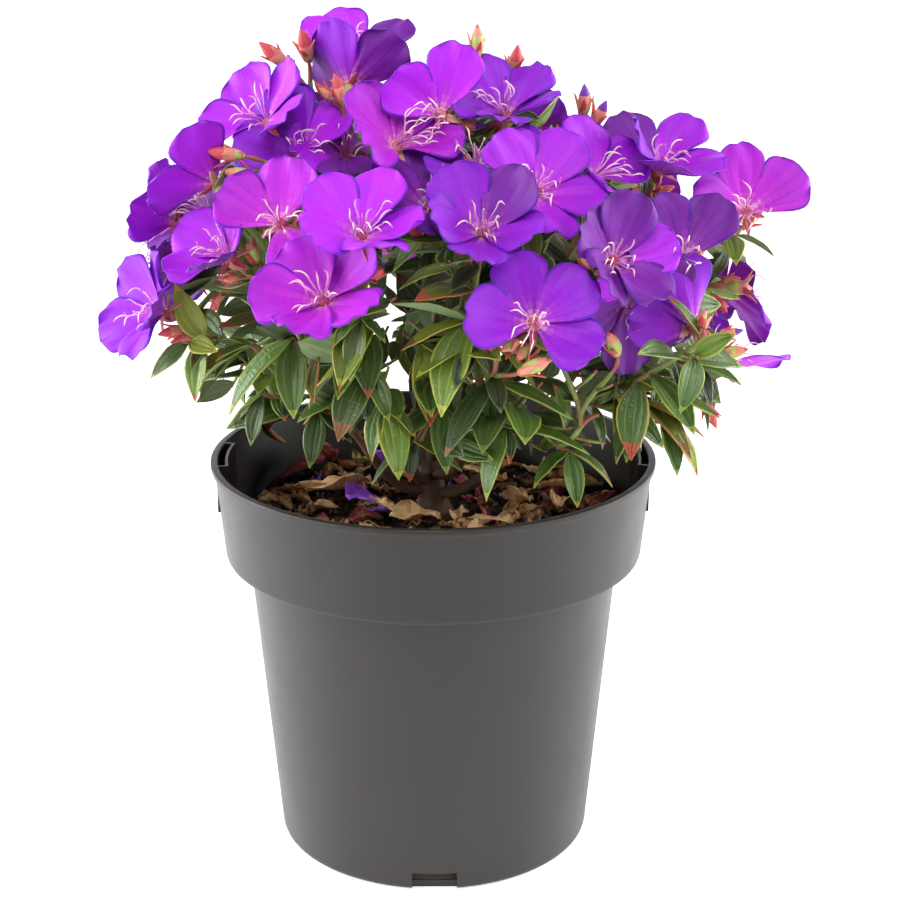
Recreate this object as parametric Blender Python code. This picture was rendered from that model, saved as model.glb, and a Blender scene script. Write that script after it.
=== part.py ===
"""A potted princess flower: a dwarf evergreen shrub in full blossom, in its nursery pot.

The pot stands on z = 0 with its axis on the Z axis, and the side with the most
blossom faces -Y. The plant has a short trunk, boughs that rise from it, and one
mass of twigs, leaves, buds and blossom at the end of each bough. Lengths are in
metres; the tables of places are in millimetres. A heading is the angle in degrees
from -Y towards +X, and a rise is the angle in degrees above the horizontal.
"""
import math

import bmesh
import bpy
import numpy as np
from mathutils import Vector
from mathutils.bvhtree import BVHTree

MM = 0.001
GAP = 0.3  # mm between neighbouring solids
SEED = 7
GOLDEN_STEP = 0.618  # spreads a row of things evenly however many there are
UP = np.array([0.0, 0.0, 1.0])

# The pot, in mm: a round 200 mm nursery pot with a deep collar.
RIM_RADIUS = 100.0
RIM_HEIGHT = 182.0
LIP_HEIGHT = 3.2
COLLAR_TOP_RADIUS = 98.4
COLLAR_FOOT_RADIUS = 94.5
COLLAR_FOOT_HEIGHT = 138.0
BODY_TOP_RADIUS = 84.2
BODY_FOOT_RADIUS = 72.0
FOOT_ROUNDING = 2.5
WALL = 1.6
FLOOR = 3.2
POT_SIDES = 48
HANGER_REACH = 31.0  # along the rim
HANGER_DEPTH = 22.0  # down from the rim
HANGER_CLEAR = 3.3  # between the collar and the hanger's own wall
HANGER_WALL = 1.2
SLOT_WIDTH = 20.0
SLOT_HEIGHT = 3.8
SLOT_CENTRE_HEIGHT = 168.0
DRAIN_WIDTH = 20.0
DRAIN_HEIGHT = 9.0
DRAIN_COUNT = 3

# The potting mix, in mm.
SOIL_HEIGHT = 151.0
SOIL_EDGE_DROP = 3.0
SOIL_LUMP = 2.2
POT_MARGIN = 1.5  # that leaves keep from the pot and the mix

# The trunk, in mm.
TRUNK_HEIGHT = 42.0
TRUNK_TOP_RADIUS = 4.6
TRUNK_WAIST_RADIUS = 6.4
ROOT_FLARE = 6.5
FLARE_HEIGHT = 4.5
ROOT_LOBES = 5
LOBE_SHARE = 0.16
TRUNK_LEAN = 3.0
TRUNK_SIDES = 14
TRUNK_ROWS = (0, 2.5, 6, 12, 20, 29, 37, TRUNK_HEIGHT)

# Boughs and twigs, in mm.
BOUGH_ROOT_RADIUS = 2.7
BOUGH_TIP_RADIUS = 1.75
BOUGH_SIDES = 5
BOUGH_STEP = 18.0
BOUGH_SHARE = 0.42  # of the way from the trunk to the middle of the mass
BOUGH_LIFT = 0.25  # how much a bough turns upwards at both ends
STEM_RADIUS = 1.6
TWIG_ROOT_RADIUS = 1.3
TWIG_TIP_RADIUS = 0.85
TWIG_STEP = 34.0
TWIG_START = (0.12, 0.86)  # the share of a twig from which others may leave it
TURN_COST = 22.0  # mm of detour that one square turn is worth
FOOT_COST = 0.25
SHORTEST_TWIG = 9.0

# Leaves, blossom and buds, in mm.
LEAF_THICKNESS = 0.8
LEAF_LENGTHS = (22.0, 30.0, 36.0)  # from the youngest pair down the twig
LEAF_SPACING = 14.0
PAIRS = {"bloom": 2, "spray": 3}
FIRST_PAIR = {"bloom": 11.0, "spray": 4.0}  # back from the twig's end
BARE_FOOT = 9.0  # of a twig
LEAF_WIDTH_SHARE = 0.42
LEAF_TRIES = ((0, 0), (16, 0), (-16, 0), (0, 14), (0, -14), (30, 8), (-30, 8), (0, 30))
PETAL_LENGTH = 29.5
PETAL_WIDTH = 24.0
PETAL_THICKNESS = 0.7
PETAL_TRIES = ((0, 0), (0, -10), (0, 9), (10, -5), (-10, -5), (0, -20), (14, -18), (-14, -18), (0, -30))
CALYX_LENGTH = 8.5
CALYX_RADIUS = 3.0
BUD_LENGTH = 15.0
BUD_RADIUS = 3.0
TIP_BUD_LENGTH = 5.0
TIP_BUD_RADIUS = 1.6

# The masses, with the height in mm at which each one's bough leaves the trunk.
MASSES = (
    ("mass_top", 42),
    ("mass_upper_left", 36),
    ("mass_left", 28),
    ("mass_low_left", 14),
    ("mass_front_left", 20),
    ("mass_front", 31),
    ("mass_front_right", 22),
    ("mass_right", 13),
    ("mass_upper_right", 34),
    ("mass_back_right", 25),
    ("mass_back", 33),
    ("mass_back_left", 21),
)

# The blossom that the front shows: mass, x, y, z of the throat, heading, rise,
# turn of the first petal from the top, which of the five petals are left, opening.
BLOSSOM = (
    ("mass_top", -31, 4, 359, 0, 62, -25, "11001", 70),
    ("mass_top", -34, -16, 349, 160, 30, 20, "11001", 60),
    ("mass_top", 3, -52, 342, 0, 14, -54, "11000", 74),
    ("mass_top", 30, -34, 340, 0, 66, -30, "11111", 52),
    ("mass_top", -14, -58, 331, 35, 52, -34, "11101", 54),
    ("mass_upper_left", -70, -25, 336, -45, 45, -50, "11101", 58),
    ("mass_upper_left", -54, -30, 325, -10, 45, -25, "11001", 60),
    ("mass_upper_left", -36, -24, 322, 0, 62, -40, "11011", 56),
    ("mass_left", -89, -45, 314, -140, 25, 30, "11000", 66),
    ("mass_left", -112, -8, 289, -105, 5, 0, "11011", 62),
    ("mass_left", -83, -62, 287, -50, 46, -12, "11111", 46),
    ("mass_low_left", -114, -44, 259, -60, 26, 10, "11111", 48),
    ("mass_front_left", -60, -80, 304, -10, 40, -66, "11010", 60),
    ("mass_front_left", -27, -103, 304, 5, 62, 24, "11111", 50),
    ("mass_front_left", -42, -110, 280, -20, 50, -35, "11111", 54),
    ("mass_front", -1, -68, 308, 20, 50, 12, "11111", 54),
    ("mass_front", 19, -98, 304, 0, 50, -30, "11111", 52),
    ("mass_front", 17, -62, 324, 0, 60, 0, "11011", 56),
    ("mass_front_right", 41, -78, 316, 25, 50, -25, "11111", 54),
    ("mass_front_right", 39, -112, 272, 12, 32, -14, "11101", 60),
    ("mass_front_right", 66, -52, 317, 60, 45, 20, "11010", 60),
    ("mass_right", 71, -90, 291, 35, 36, 20, "11111", 52),
    ("mass_right", 80, -72, 270, 20, -15, 40, "11111", 60),
    ("mass_right", 100, -72, 288, 12, 46, -28, "11001", 58),
    ("mass_right", 104, -78, 261, -160, 0, 10, "11000", 70),
    ("mass_right", 121, -38, 234, 60, 66, 180, "10000", 78),
    ("mass_upper_right", 93, -32, 317, 10, 64, -28, "11111", 54),
    ("mass_upper_right", 132, -28, 298, 18, 34, -8, "11001", 60),
    ("mass_upper_right", 135, -20, 263, 80, 0, 0, "00000", 60),
)

# Blossom of the sides and the back: mass, and how many blooms its rule sets out.
MORE_BLOSSOM = (
    ("mass_top", 3),
    ("mass_upper_left", 2),
    ("mass_left", 1),
    ("mass_low_left", 1),
    ("mass_upper_right", 2),
    ("mass_back_right", 5),
    ("mass_back", 5),
    ("mass_back_left", 5),
)

# Buds that stand out: mass, x, y, z of the bud's foot, heading, rise.
BUDS = (
    ("mass_upper_left", -61, -8, 356, -60, 40),
    ("mass_upper_left", -52, -6, 358, -20, 60),
    ("mass_top", 18, -18, 360, 10, 80),
    ("mass_top", 33, -12, 352, 30, 70),
    ("mass_top", 44, -8, 344, 50, 60),
    ("mass_left", -77, -48, 325, -80, 10),
    ("mass_left", -70, -50, 316, -70, 15),
    ("mass_upper_right", 62, -30, 338, 0, 75),
    ("mass_upper_right", 66, -32, 334, 50, 60),
    ("mass_right", 82, -60, 300, -20, 70),
    ("mass_front", 24, -104, 256, -30, 60),
    ("mass_front", 34, -106, 250, 50, 30),
    ("mass_front_right", 74, -80, 250, -30, 50),
    ("mass_right", 117, -58, 243, 60, 20),
)

# Leafy tips that the front shows: mass, x, y, z of the tip, then its leaves, each
# by heading, rise and length.
SPRAYS = (
    ("mass_front", 29, -88, 222, ((80, 0, 36), (-85, 10, 24), (20, -50, 15), (-40, -50, 31))),
    ("mass_front", 23, -94, 243, ((75, -15, 36), (-50, -40, 36), (-10, -70, 17))),
    ("mass_front", 14, -88, 266, ((-35, -48, 40), (30, -70, 28), (-80, -12, 29), (-70, 25, 34))),
    ("mass_front", -5, -70, 252, ((-60, -30, 34), (10, -62, 32), (62, -20, 28))),
    ("mass_front", 4, -66, 226, ((-70, -30, 32), (0, -60, 30), (65, -30, 30))),
    ("mass_front_left", -27, -84, 246, ((40, -40, 24), (-45, -35, 33), (10, -35, 22))),
    ("mass_front_left", -20, -78, 230, ((30, -55, 33), (-20, -60, 25), (60, -30, 20))),
    ("mass_front_left", -28, -98, 270, ((-25, -60, 25), (60, -20, 14), (-70, -30, 16))),
    ("mass_front_left", -56, -84, 258, ((-60, -30, 40), (-5, -62, 32))),
    ("mass_low_left", -76, -50, 246, ((-80, -20, 26), (-40, 10, 20), (-110, 15, 18))),
    ("mass_low_left", -84, -30, 240, ((-95, -25, 24), (-60, -10, 22), (160, 0, 20))),
    ("mass_right", 84, -76, 238, ((75, -15, 36), (-80, 5, 28), (-30, -65, 33))),
    ("mass_right", 86, -66, 226, ((80, -15, 30), (-60, -60, 28), (50, -30, 32), (-30, -60, 26))),
    ("mass_right", 108, -58, 240, ((70, -10, 22), (30, -35, 20), (110, -20, 24))),
    ("mass_front_right", 56, -70, 206, ((20, -60, 24), (-60, -20, 22), (80, -20, 24))),
    ("mass_front", -8, -58, 206, ((-20, -60, 32), (40, -50, 30), (-70, -40, 28), (80, -35, 26))),
    ("mass_front_left", -48, -60, 220, ((-60, -45, 30), (0, -60, 32), (50, -45, 26))),
    ("mass_low_left", -72, -48, 224, ((-15, -70, 34), (-70, -45, 24), (50, -40, 24))),
    ("mass_right", 96, -50, 212, ((20, -60, 30), (85, -35, 28), (-50, -50, 24))),
)

# Leafy tips low round the sides and the back: mass, and how many.
MORE_SPRAYS = (
    ("mass_left", 2),
    ("mass_upper_left", 2),
    ("mass_front_right", 2),
    ("mass_right", 1),
    ("mass_upper_right", 2),
    ("mass_back_right", 3),
    ("mass_back", 3),
    ("mass_back_left", 4),
    ("mass_top", 1),
)

# Where the rule sets out blossom and leafy tips: mass, heading of its middle and
# half the angle that it takes up, both in degrees.
SECTORS = {
    "mass_top": (180, 80),
    "mass_upper_left": (-105, 25),
    "mass_left": (-95, 18),
    "mass_low_left": (-80, 22),
    "mass_front": (5, 15),
    "mass_front_right": (35, 12),
    "mass_right": (65, 15),
    "mass_upper_right": (106, 14),
    "mass_back_right": (128, 22),
    "mass_back": (178, 24),
    "mass_back_left": (-132, 24),
}
CROWN_MIDDLE = np.array([6.0, 0.0, 222.0])
CROWN_RADII = np.array([140.0, 128.0, 124.0])
BLOOM_RISES = (2, 46)
TOP_BLOOM_RISES = (52, 66)
BLOOM_SHARES = (0.93, 0.98)  # of the way out to the crown's outline
BLOOM_OPENINGS = (58, 72)
BLOOM_SWAY = 45  # mm by which a bloom's facing strays
SPRAY_RISES = (-8, 32)
TOP_SPRAY_RISES = (40, 60)
SPRAY_SHARES = (0.74, 0.82)


def towards(heading, rise):
    """The unit vector of a heading and a rise."""
    h = math.radians(heading)
    r = math.radians(rise)
    return np.array([math.sin(h) * math.cos(r), -math.cos(h) * math.cos(r), math.sin(r)])


def unit(v):
    return v / max(float(np.linalg.norm(v)), 1e-9)


def frame_of(axis, hint):
    """Two unit vectors square to the axis, the first as near to hint as can be."""
    first = hint - axis * float(hint @ axis)
    if np.linalg.norm(first) < 0.05:
        first = np.array([1.0, 0.0, 0.0]) - axis * float(axis[0])
    first = unit(first)
    return first, np.cross(first, axis)


def bend(start, start_dir, end, end_dir, reach=0.36):
    """The four control points of a limb that leaves and arrives as asked."""
    span = float(np.linalg.norm(end - start)) * reach
    return np.array([start, start + start_dir * span, end - end_dir * span, end])


def along(curve, t):
    """Points and directions of a curve at the parameters t."""
    t = np.asarray(t, float)[:, None]
    s = 1 - t
    a, b, c, d = curve
    place = a * s**3 + 3 * b * s**2 * t + 3 * c * s * t**2 + d * t**3
    way = 3 * (b - a) * s**2 + 6 * (c - b) * s * t + 3 * (d - c) * t**2
    return place, way / np.linalg.norm(way, axis=1)[:, None]


def length_of(curve):
    place = along(curve, np.linspace(0, 1, 13))[0]
    return float(np.linalg.norm(np.diff(place, axis=0), axis=1).sum())


def rows_of(curve):
    """How many straight stretches a twig's solid has."""
    return max(1, round(length_of(curve) / TWIG_STEP))


def on_twig(curve, t):
    """Points in the middle of a twig's solid, and the twig's directions there."""
    knots = np.linspace(0, 1, rows_of(curve) + 1)
    place = along(curve, knots)[0]
    straight = np.stack([np.interp(t, knots, place[:, axis]) for axis in range(3)], 1)
    return straight, along(curve, t)[1]


def new_object(name, verts, faces, material):
    """A mesh object from points in mm, with its faces turned outwards."""
    mesh = bpy.data.meshes.new(name)
    mesh.from_pydata([tuple(v) for v in np.asarray(verts, float) * MM], [], faces)
    mesh.materials.append(material)
    obj = bpy.data.objects.new(name, mesh)
    bpy.context.scene.collection.objects.link(obj)
    bm = bmesh.new()
    bm.from_mesh(mesh)
    bmesh.ops.recalc_face_normals(bm, faces=bm.faces)
    bm.to_mesh(mesh)
    bm.free()
    return obj


def finish(name, colour, roughness):
    """A Principled material; the colour is linear."""
    material = bpy.data.materials.new(name)
    material.use_nodes = True
    shader = material.node_tree.nodes["Principled BSDF"]
    shader.inputs["Base Color"].default_value = (*colour, 1.0)
    shader.inputs["Roughness"].default_value = roughness
    shader.inputs["Metallic"].default_value = 0.0
    return material


def smooth(obj, degrees=35):
    obj.data.shade_smooth()
    obj.data.set_sharp_from_angle(angle=math.radians(degrees))


def turned(name, profile, sides, material):
    """A solid of revolution whose closed profile starts and ends on the Z axis."""
    bm = bmesh.new()
    ring = [bm.verts.new((r * MM, 0.0, z * MM)) for r, z in profile]
    edges = [bm.edges.new(pair) for pair in zip(ring, ring[1:])]
    bmesh.ops.spin(
        bm,
        geom=ring + edges,
        cent=(0, 0, 0),
        axis=(0, 0, 1),
        angle=2 * math.pi,
        steps=sides,
        use_merge=True,
    )
    bmesh.ops.remove_doubles(bm, verts=bm.verts, dist=1e-6)
    bmesh.ops.recalc_face_normals(bm, faces=bm.faces)
    mesh = bpy.data.meshes.new(name)
    bm.to_mesh(mesh)
    bm.free()
    mesh.materials.append(material)
    obj = bpy.data.objects.new(name, mesh)
    bpy.context.scene.collection.objects.link(obj)
    return obj


def evaluated(obj):
    """A mesh of the object as its modifiers leave it."""
    bpy.context.view_layer.update()
    graph = bpy.context.evaluated_depsgraph_get()
    return bpy.data.meshes.new_from_object(obj.evaluated_get(graph))


def join_all(obj, others, operation, solver):
    """Applies one Boolean with a collection of objects, which it then removes."""
    group = bpy.data.collections.new("joined")
    bpy.context.scene.collection.children.link(group)
    for other in others:
        bpy.context.scene.collection.objects.unlink(other)
        group.objects.link(other)
    modifier = obj.modifiers.new("joined", "BOOLEAN")
    modifier.operation = operation
    modifier.operand_type = "COLLECTION"
    modifier.collection = group
    modifier.solver = solver
    mesh = evaluated(obj)
    obj.modifiers.clear()
    obj.data = mesh
    for other in others:
        bpy.data.objects.remove(other)
    bpy.data.collections.remove(group)


def largest_shell(obj):
    """Keeps the largest closed shell: it fills sealed hollows and drops scrap."""
    bm = bmesh.new()
    bm.from_mesh(obj.data)
    bmesh.ops.triangulate(bm, faces=bm.faces)
    left = set(bm.faces)
    shells = []
    while left:
        shell = [left.pop()]
        for face in shell:
            for neighbour in [n for edge in face.edges for n in edge.link_faces if n in left]:
                if neighbour in left:
                    left.remove(neighbour)
                    shell.append(neighbour)
        shells.append(shell)
    shells.sort(key=len, reverse=True)
    for shell in shells[1:]:
        bmesh.ops.delete(bm, geom=shell, context="FACES")
    bm.to_mesh(obj.data)
    bm.free()


# The pot and what it holds.


def pot_profile():
    """Radius and height, from the middle of the underside round to the floor inside."""
    lip_foot = RIM_HEIGHT - LIP_HEIGHT
    shoulder = COLLAR_FOOT_HEIGHT + 1.0
    return (
        (0, 0),
        (BODY_FOOT_RADIUS - FOOT_ROUNDING, 0),
        (BODY_FOOT_RADIUS, FOOT_ROUNDING),
        (BODY_TOP_RADIUS, shoulder),
        (COLLAR_FOOT_RADIUS, COLLAR_FOOT_HEIGHT),
        (COLLAR_TOP_RADIUS, lip_foot),
        (RIM_RADIUS, lip_foot + 0.5),
        (RIM_RADIUS, RIM_HEIGHT - 0.7),
        (RIM_RADIUS - 0.8, RIM_HEIGHT),
        (COLLAR_TOP_RADIUS - WALL, RIM_HEIGHT),
        (COLLAR_FOOT_RADIUS - WALL, COLLAR_FOOT_HEIGHT + 1.0 + WALL),
        (BODY_TOP_RADIUS - WALL, shoulder + WALL),
        (BODY_FOOT_RADIUS - WALL, FLOOR + 2.0),
        (BODY_FOOT_RADIUS - WALL - 2.0, FLOOR),
        (0, FLOOR),
    )


def box(name, low, high, turn, material):
    """A box between two corners in mm, turned by some degrees about the Z axis."""
    corners = [(x, y, z) for x in (low[0], high[0]) for y in (low[1], high[1]) for z in (low[2], high[2])]
    c = math.cos(math.radians(turn))
    s = math.sin(math.radians(turn))
    verts = [(x * c - y * s, x * s + y * c, z) for x, y, z in corners]
    faces = [(0, 1, 3, 2), (4, 6, 7, 5), (0, 4, 5, 1), (2, 3, 7, 6), (0, 2, 6, 4), (1, 5, 7, 3)]
    return new_object(name, verts, faces, material)


def hanger(side, material):
    """The small pocket inside the rim, for a wire hanger, at the right or left."""
    outer = COLLAR_TOP_RADIUS - WALL / 2
    inner = COLLAR_TOP_RADIUS - WALL - HANGER_CLEAR
    half = HANGER_REACH / 2 / inner
    rib = HANGER_WALL / inner
    steps = [half * k / 3 for k in (-3, -2, -1, 0, 1, 2, 3)]
    plan = [(outer, -half - rib)]
    plan += [(inner - HANGER_WALL, a) for a in [-half - rib] + steps[1:-1] + [half + rib]]
    plan += [(outer, half + rib), (outer, half)]
    plan += [(inner, a) for a in reversed(steps)]
    plan += [(outer, -half)]
    turn = 0.0 if side > 0 else math.pi
    heights = (RIM_HEIGHT - HANGER_DEPTH, RIM_HEIGHT - 0.4)
    verts = [(r * math.cos(a + turn), r * math.sin(a + turn), z) for z in heights for r, a in plan]
    n = len(plan)
    faces = [tuple(range(n)), tuple(range(2 * n - 1, n - 1, -1))]
    faces += [(k, (k + 1) % n, (k + 1) % n + n, k + n) for k in range(n)]
    return new_object("hanger", verts, faces, material)


def make_pot(plastic):
    pot = turned("pot", pot_profile(), POT_SIDES, plastic)
    join_all(pot, [hanger(side, plastic) for side in (1, -1)], "UNION", "EXACT")
    cutters = []
    for turn in (0, 180):
        low = (COLLAR_FOOT_RADIUS - WALL - 0.2, -SLOT_WIDTH / 2, SLOT_CENTRE_HEIGHT - SLOT_HEIGHT / 2)
        high = (RIM_RADIUS + 2.0, SLOT_WIDTH / 2, SLOT_CENTRE_HEIGHT + SLOT_HEIGHT / 2)
        cutters.append(box("slot", low, high, turn, plastic))
    for k in range(DRAIN_COUNT):
        low = (BODY_FOOT_RADIUS - FOOT_ROUNDING - WALL, -DRAIN_WIDTH / 2, -1.0)
        high = (BODY_FOOT_RADIUS + 4.0, DRAIN_WIDTH / 2, DRAIN_HEIGHT)
        cutters.append(box("drain", low, high, -90 + 360 * k / DRAIN_COUNT, plastic))
    join_all(pot, cutters, "DIFFERENCE", "EXACT")
    smooth(pot)
    return pot


def make_soil(mix):
    """The potting mix, which fills the pot to a little under the hangers."""
    shoulder = COLLAR_FOOT_HEIGHT + 1.0 + WALL
    slope = (COLLAR_TOP_RADIUS - COLLAR_FOOT_RADIUS) / (RIM_HEIGHT - LIP_HEIGHT - COLLAR_FOOT_HEIGHT)
    edge_height = SOIL_HEIGHT - SOIL_EDGE_DROP
    edge_radius = COLLAR_FOOT_RADIUS - WALL + slope * (edge_height - shoulder) - GAP
    profile = [
        (0, FLOOR + GAP),
        (BODY_FOOT_RADIUS - WALL - 2.4, FLOOR + GAP),
        (BODY_FOOT_RADIUS - WALL - GAP - 0.1, FLOOR + 2.3),
        (BODY_TOP_RADIUS - WALL - GAP, shoulder + GAP),
        (COLLAR_FOOT_RADIUS - WALL - GAP, shoulder + GAP + 0.1),
        (edge_radius, edge_height),
        (edge_radius * 0.80, SOIL_HEIGHT - 1.0),
        (edge_radius * 0.50, SOIL_HEIGHT),
        (22.0, SOIL_HEIGHT),
        (0, SOIL_HEIGHT),
    ]
    soil = turned("soil", profile, POT_SIDES, mix)
    lumps = np.random.default_rng(SEED)
    for vert in soil.data.vertices:
        r = math.hypot(vert.co.x, vert.co.y) / MM
        if vert.co.z > (SOIL_HEIGHT - 2.0) * MM and 24.0 < r < edge_radius * 0.9:
            vert.co.z += float(lumps.uniform(-1, 1)) * SOIL_LUMP * MM
    smooth(soil)
    return soil


# The limbs.


def trunk_radius(height):
    """Radius at a height above the soil: a flared foot, then a slow taper."""
    share = height / TRUNK_HEIGHT
    taper = TRUNK_WAIST_RADIUS + (TRUNK_TOP_RADIUS - TRUNK_WAIST_RADIUS) * share
    return taper + ROOT_FLARE * math.exp(-height / FLARE_HEIGHT)


def trunk_middle(height):
    """The middle of the trunk, which leans a little to the left and back."""
    share = height / TRUNK_HEIGHT
    return np.array([-TRUNK_LEAN * share**1.4, 0.6 * TRUNK_LEAN * share, SOIL_HEIGHT + GAP + height])


def make_trunk(bark):
    verts = []
    for height in TRUNK_ROWS:
        middle = trunk_middle(height)
        lobes = LOBE_SHARE * math.exp(-height / FLARE_HEIGHT)
        for k in range(TRUNK_SIDES):
            a = 2 * math.pi * k / TRUNK_SIDES
            r = trunk_radius(height) * (1 + lobes * math.cos(ROOT_LOBES * a + 0.6))
            verts.append(middle + np.array([r * math.cos(a), r * math.sin(a), 0.0]))
    n = TRUNK_SIDES
    faces = [tuple(range(n - 1, -1, -1))]
    for row in range(len(TRUNK_ROWS) - 1):
        base = row * n
        faces += [(base + k, base + (k + 1) % n, base + n + (k + 1) % n, base + n + k) for k in range(n)]
    top = (len(TRUNK_ROWS) - 1) * n
    faces.append(tuple(range(top, top + n)))
    trunk = new_object("trunk", verts, faces, bark)
    smooth(trunk, 50)
    return trunk


def limb_mesh(curve, radii, sides, rows, swell=()):
    """A tapering limb along a curve. It ends flat, or in rings of its swell.

    Each ring of the swell is its distance past the curve's end and its radius,
    and the last one has no radius: it is the point.
    """
    t = np.linspace(0, 1, rows + 1)
    place, way = along(curve, t)
    rings = [(place[k], way[k], radii[0] + (radii[1] - radii[0]) * t[k]) for k in range(rows + 1)]
    rings += [(place[-1] + way[-1] * ahead, way[-1], radius) for ahead, radius in swell]
    verts = []
    side = frame_of(way[0], np.array([0.31, 0.95, 0.11]))[0]
    for middle, axis, radius in rings:
        side = unit(side - axis * float(side @ axis))
        other = np.cross(axis, side)
        if radius == 0:
            verts.append(middle)
            continue
        for j in range(sides):
            a = 2 * math.pi * j / sides
            verts.append(middle + radius * (math.cos(a) * side + math.sin(a) * other))
    faces = [tuple(range(sides - 1, -1, -1))]
    full = len(rings) - (1 if swell else 0)
    for k in range(full - 1):
        b = k * sides
        around = [(b + j, b + (j + 1) % sides) for j in range(sides)]
        faces += [(i, j, j + sides, i + sides) for i, j in around]
    last = (full - 1) * sides
    if swell:
        faces += [(last + j, last + (j + 1) % sides, last + sides) for j in range(sides)]
    else:
        faces.append(tuple(range(last, last + sides)))
    return np.array(verts), faces


# What each mass reaches for: blossom, buds and leafy tips.


def crown_point(heading, rise, share=1.0):
    """A point on the crown's outline, or at a share of the way out to it."""
    way = towards(heading, rise)
    reach = 1 / math.sqrt(float(((way / CROWN_RADII) ** 2).sum()))
    return CROWN_MIDDLE + way * reach * share


def targets_of_all():
    """For each mass its targets: kind, place, facing, and what its kind needs."""
    rng = np.random.default_rng(SEED)
    found = {name: [] for name, _ in MASSES}
    for mass, x, y, z, heading, rise, turn, petals, opening in BLOSSOM:
        facing = towards(heading, rise)
        found[mass].append(("bloom", np.array([x, y, z], float), facing, (turn, petals, opening)))
    for mass, x, y, z, heading, rise in BUDS:
        found[mass].append(("bud", np.array([x, y, z], float), towards(heading, rise), ()))
    for mass, x, y, z, leaves in SPRAYS:
        place = np.array([x, y, z], float)
        out = unit(place - CROWN_MIDDLE + 30 * UP)
        found[mass].append(("spray", place, out, leaves))
    for mass, count in MORE_BLOSSOM:
        middle, half = SECTORS[mass]
        low, high = TOP_BLOOM_RISES if mass == "mass_top" else BLOOM_RISES
        for k in range(count):
            heading = middle + half * (2 * ((k * GOLDEN_STEP + 0.3) % 1) - 1)
            rise = low + (high - low) * (k + 0.5) / count
            place = crown_point(heading, rise, rng.uniform(*BLOOM_SHARES))
            facing = unit(place - CROWN_MIDDLE + rng.uniform(-BLOOM_SWAY, BLOOM_SWAY, 3) + 15 * UP)
            turn = float(rng.uniform(0, 72))
            opening = float(rng.uniform(*BLOOM_OPENINGS))
            found[mass].append(("bloom", place, facing, (turn, "11111", opening)))
    for mass, count in MORE_SPRAYS:
        middle, half = SECTORS[mass]
        low, high = TOP_SPRAY_RISES if mass == "mass_top" else SPRAY_RISES
        for k in range(count):
            heading = middle + half * (2 * ((k * GOLDEN_STEP + 0.55) % 1) - 1)
            rise = low + (high - low) * (k + 0.5) / count
            place = crown_point(heading, rise, rng.uniform(*SPRAY_SHARES))
            out = unit(place - CROWN_MIDDLE + 25 * UP)
            found[mass].append(("spray", place, out, ()))
    return found


def grow(name, leave_height, targets):
    """The bough of a mass and its twigs: each a curve, with the target that it ends in."""
    ends = [place - facing * CALYX_LENGTH if kind == "bloom" else place for kind, place, facing, _ in targets]
    middle = np.mean(ends, axis=0)
    root = trunk_middle(leave_height)
    if leave_height >= TRUNK_HEIGHT:
        start = root + GAP * UP
        start_dir = UP
    else:
        flat = unit((middle - root) * np.array([1, 1, 0]))
        start_dir = unit(flat + BOUGH_LIFT * UP)
        start = root + flat * (trunk_radius(leave_height) + GAP + BOUGH_LIFT * BOUGH_ROOT_RADIUS)
    entry = root + (middle - root) * BOUGH_SHARE
    entry_dir = unit(unit(middle - entry) + BOUGH_LIFT * UP)
    bough = bend(start, start_dir, entry, entry_dir)
    order = sorted(range(len(ends)), key=lambda k: -float(np.linalg.norm(ends[k] - entry)))
    leader = order[0]
    twigs = []
    foot = entry + entry_dir * GAP
    twigs.append((bend(foot, entry_dir, ends[leader], targets[leader][2]), leader, STEM_RADIUS))
    for k in reversed(order[1:]):
        best = None
        for parent, (curve, _, _) in enumerate(twigs):
            place, way = on_twig(curve, np.linspace(*TWIG_START, 14))
            gap = ends[k] - place
            far = np.linalg.norm(gap, axis=1)
            turn = 1 - (gap * way).sum(1) / np.maximum(far, 1e-6)
            cost = far + TURN_COST * turn + FOOT_COST * np.linalg.norm(place - entry, axis=1)
            cost[far < SHORTEST_TWIG] += 1000
            at = int(np.argmin(cost))
            if best is None or cost[at] < best[0]:
                best = (float(cost[at]), place[at], way[at], parent)
        _, place, way, parent = best
        start_dir = unit(way * 0.7 + unit(ends[k] - place))
        twigs.append((bend(place, start_dir, ends[k], targets[k][2]), k, TWIG_ROOT_RADIUS))
    return bough, twigs


# Small shapes of the masses, all as points and triangles in mm.


def blade(root, way, normal, outline, middle, size, droop, cup):
    """A thin closed blade with a keel below. Its outline is in shares of length and half width."""
    length, width, thickness = size
    side = np.cross(way, normal)

    def point(t, w, lift):
        return root + way * (t * length) + side * (w * width / 2) + normal * (lift - droop * length * t * t)

    verts = [point(t, w, cup * width / 2 * w * w) for t, w in outline]
    verts.append(point(middle, 0, -thickness))
    n = len(outline)
    faces = [(0, 1, n - 1)]
    faces += [(1, k, k + 1) for k in range(2, n - 1)]
    faces += [(n, (k + 1) % n, k) for k in range(n)]
    return np.array(verts), faces


LEAF_OUTLINE = ((0, 0), (0.42, 1.0), (1, 0), (0.42, -1.0))
PETAL_OUTLINE = ((0, 0), (0.76, 1.0), (0.99, 0.5), (0.99, -0.5), (0.76, -1.0))


def leaf(node, way, up, length):
    normal = frame_of(way, up)[0]
    size = (length, length * LEAF_WIDTH_SHARE, LEAF_THICKNESS)
    return blade(node + way * 0.15, way, normal, LEAF_OUTLINE, 0.45, size, 0.14, 0.0)


def petal(throat, facing, up, side, angle, opening):
    a = math.radians(angle)
    o = math.radians(opening)
    radial = up * math.cos(a) + side * math.sin(a)
    way = facing * math.cos(o) + radial * math.sin(o)
    normal = facing * math.sin(o) - radial * math.cos(o)
    root = throat - facing * 1.8 + radial * 0.3
    size = (PETAL_LENGTH, PETAL_WIDTH, PETAL_THICKNESS)
    return blade(root, way, normal, PETAL_OUTLINE, 0.55, size, 0.10, 0.12)


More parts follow.
